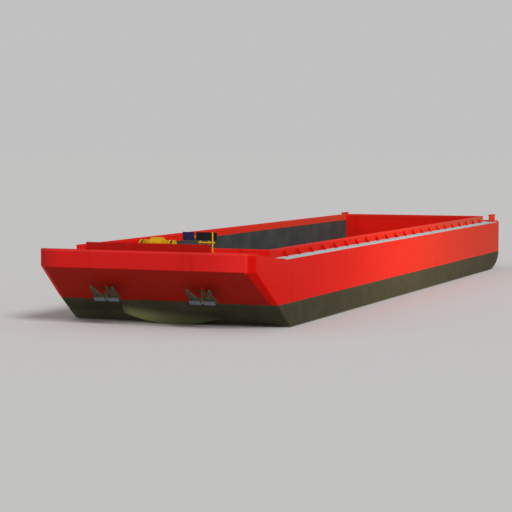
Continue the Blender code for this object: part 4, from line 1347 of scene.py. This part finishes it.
def bollard(name):
    low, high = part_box(name)
    middle = (low + high) / 2
    foot = low.z
    base = block(low, (high.x, high.y, foot + BOLLARD_BASE))
    upright = [edge for edge in base.edges if edge.verts[0].co.xy == edge.verts[1].co.xy]
    bmesh.ops.bevel(
        base, geom=upright, offset=BOLLARD_CORNER, segments=5, profile=0.5, affect="EDGES", material=-1
    )
    parts = [rounded(base, 0.004)]
    top = high.z - foot
    post = [
        (0, 0.01), (0.095, 0.01), (0.095, top - 0.075), (0.098, top - 0.062), (0.112, top - 0.054),
        (0.121, top - 0.047), (0.125, top - 0.038), (0.125, top - 0.024), (0.120, top - 0.012),
        (0.108, top - 0.004), (0.090, top), (0, top),
    ]
    weld_low, weld_high = BOLLARD_BASE - 0.002, BOLLARD_BASE + 0.010
    weld = [(0.09, weld_low), (0.106, weld_low), (0.096, weld_high), (0.09, weld_high)]
    for shift in (-BOLLARD_SPACING / 2, BOLLARD_SPACING / 2):
        spot = Matrix.Translation((middle.x, middle.y + shift, foot))
        parts += [placed(turned(post, 40), spot), placed(closed(turned(weld, 40)), spot)]
    piece(joined(parts), name + "_posts", [topside_paint], (name,))


bollard("bollard_port")
bollard("bollard_starboard")

# %% Stern rail
rail_low, rail_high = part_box("stern_rail")
rail_bar = rounded(block(rail_low, rail_high), 0.012, 3)
rail_bead = bead(rail_low, (rail_high.x, rail_low.y, rail_low.z), BEAD)
piece(joined([rail_bar, rail_bead]), "stern_rail_bar", [topside_paint], ("stern_rail",))

# %% Hold ladders
LADDER_HALF = 0.19
LADDER_STILE = 0.05
RUNG_OFF_WALL = 0.085
RUNG_RADIUS = 0.012
RUNG_HALF = 0.18
RUNGS = 6
RUNG_FOOT = 0.14
RUNG_HEAD = 0.12


def ladder(name, facing_y):
    """Two stiles and their rungs. Facing_y is 1 on the fore wall of the hold and -1 on the aft one."""
    low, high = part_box(name)
    middle = (low.x + high.x) / 2
    rung_y = (low.y if facing_y > 0 else high.y) + RUNG_OFF_WALL * facing_y
    parts = []
    for side in (-1, 1):
        left = middle + side * LADDER_HALF - LADDER_STILE / 2
        stile = block((left, low.y, low.z), (left + LADDER_STILE, high.y, high.z))
        parts.append(rounded(stile, 0.008))
    first, last = low.z + RUNG_FOOT, high.z - RUNG_HEAD
    for index in range(RUNGS):
        z = first + (last - first) * index / (RUNGS - 1)
        rung = disc(RUNG_RADIUS, -RUNG_HALF, RUNG_HALF, 16)
        parts.append(placed(rung, facing((middle, rung_y, z), (1, 0, 0))))
    piece(joined(parts), name + "_rungs", [hold_steel], (name,))


ladder("ladder_fore", 1)
ladder("ladder_aft", -1)

# %% [markdown]
# ## The forefoot
#
# The fairing under the rake is right as it is. It keeps its mesh and gets its paint in its own slot.

# %% Paint the forefoot fairing
fairing_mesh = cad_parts["forefoot_fairing"].data
fairing_mesh.materials.clear()
fairing_mesh.materials.append(forefoot_paint)
print("forefoot fairing painted:", fairing_mesh.materials[0].name)
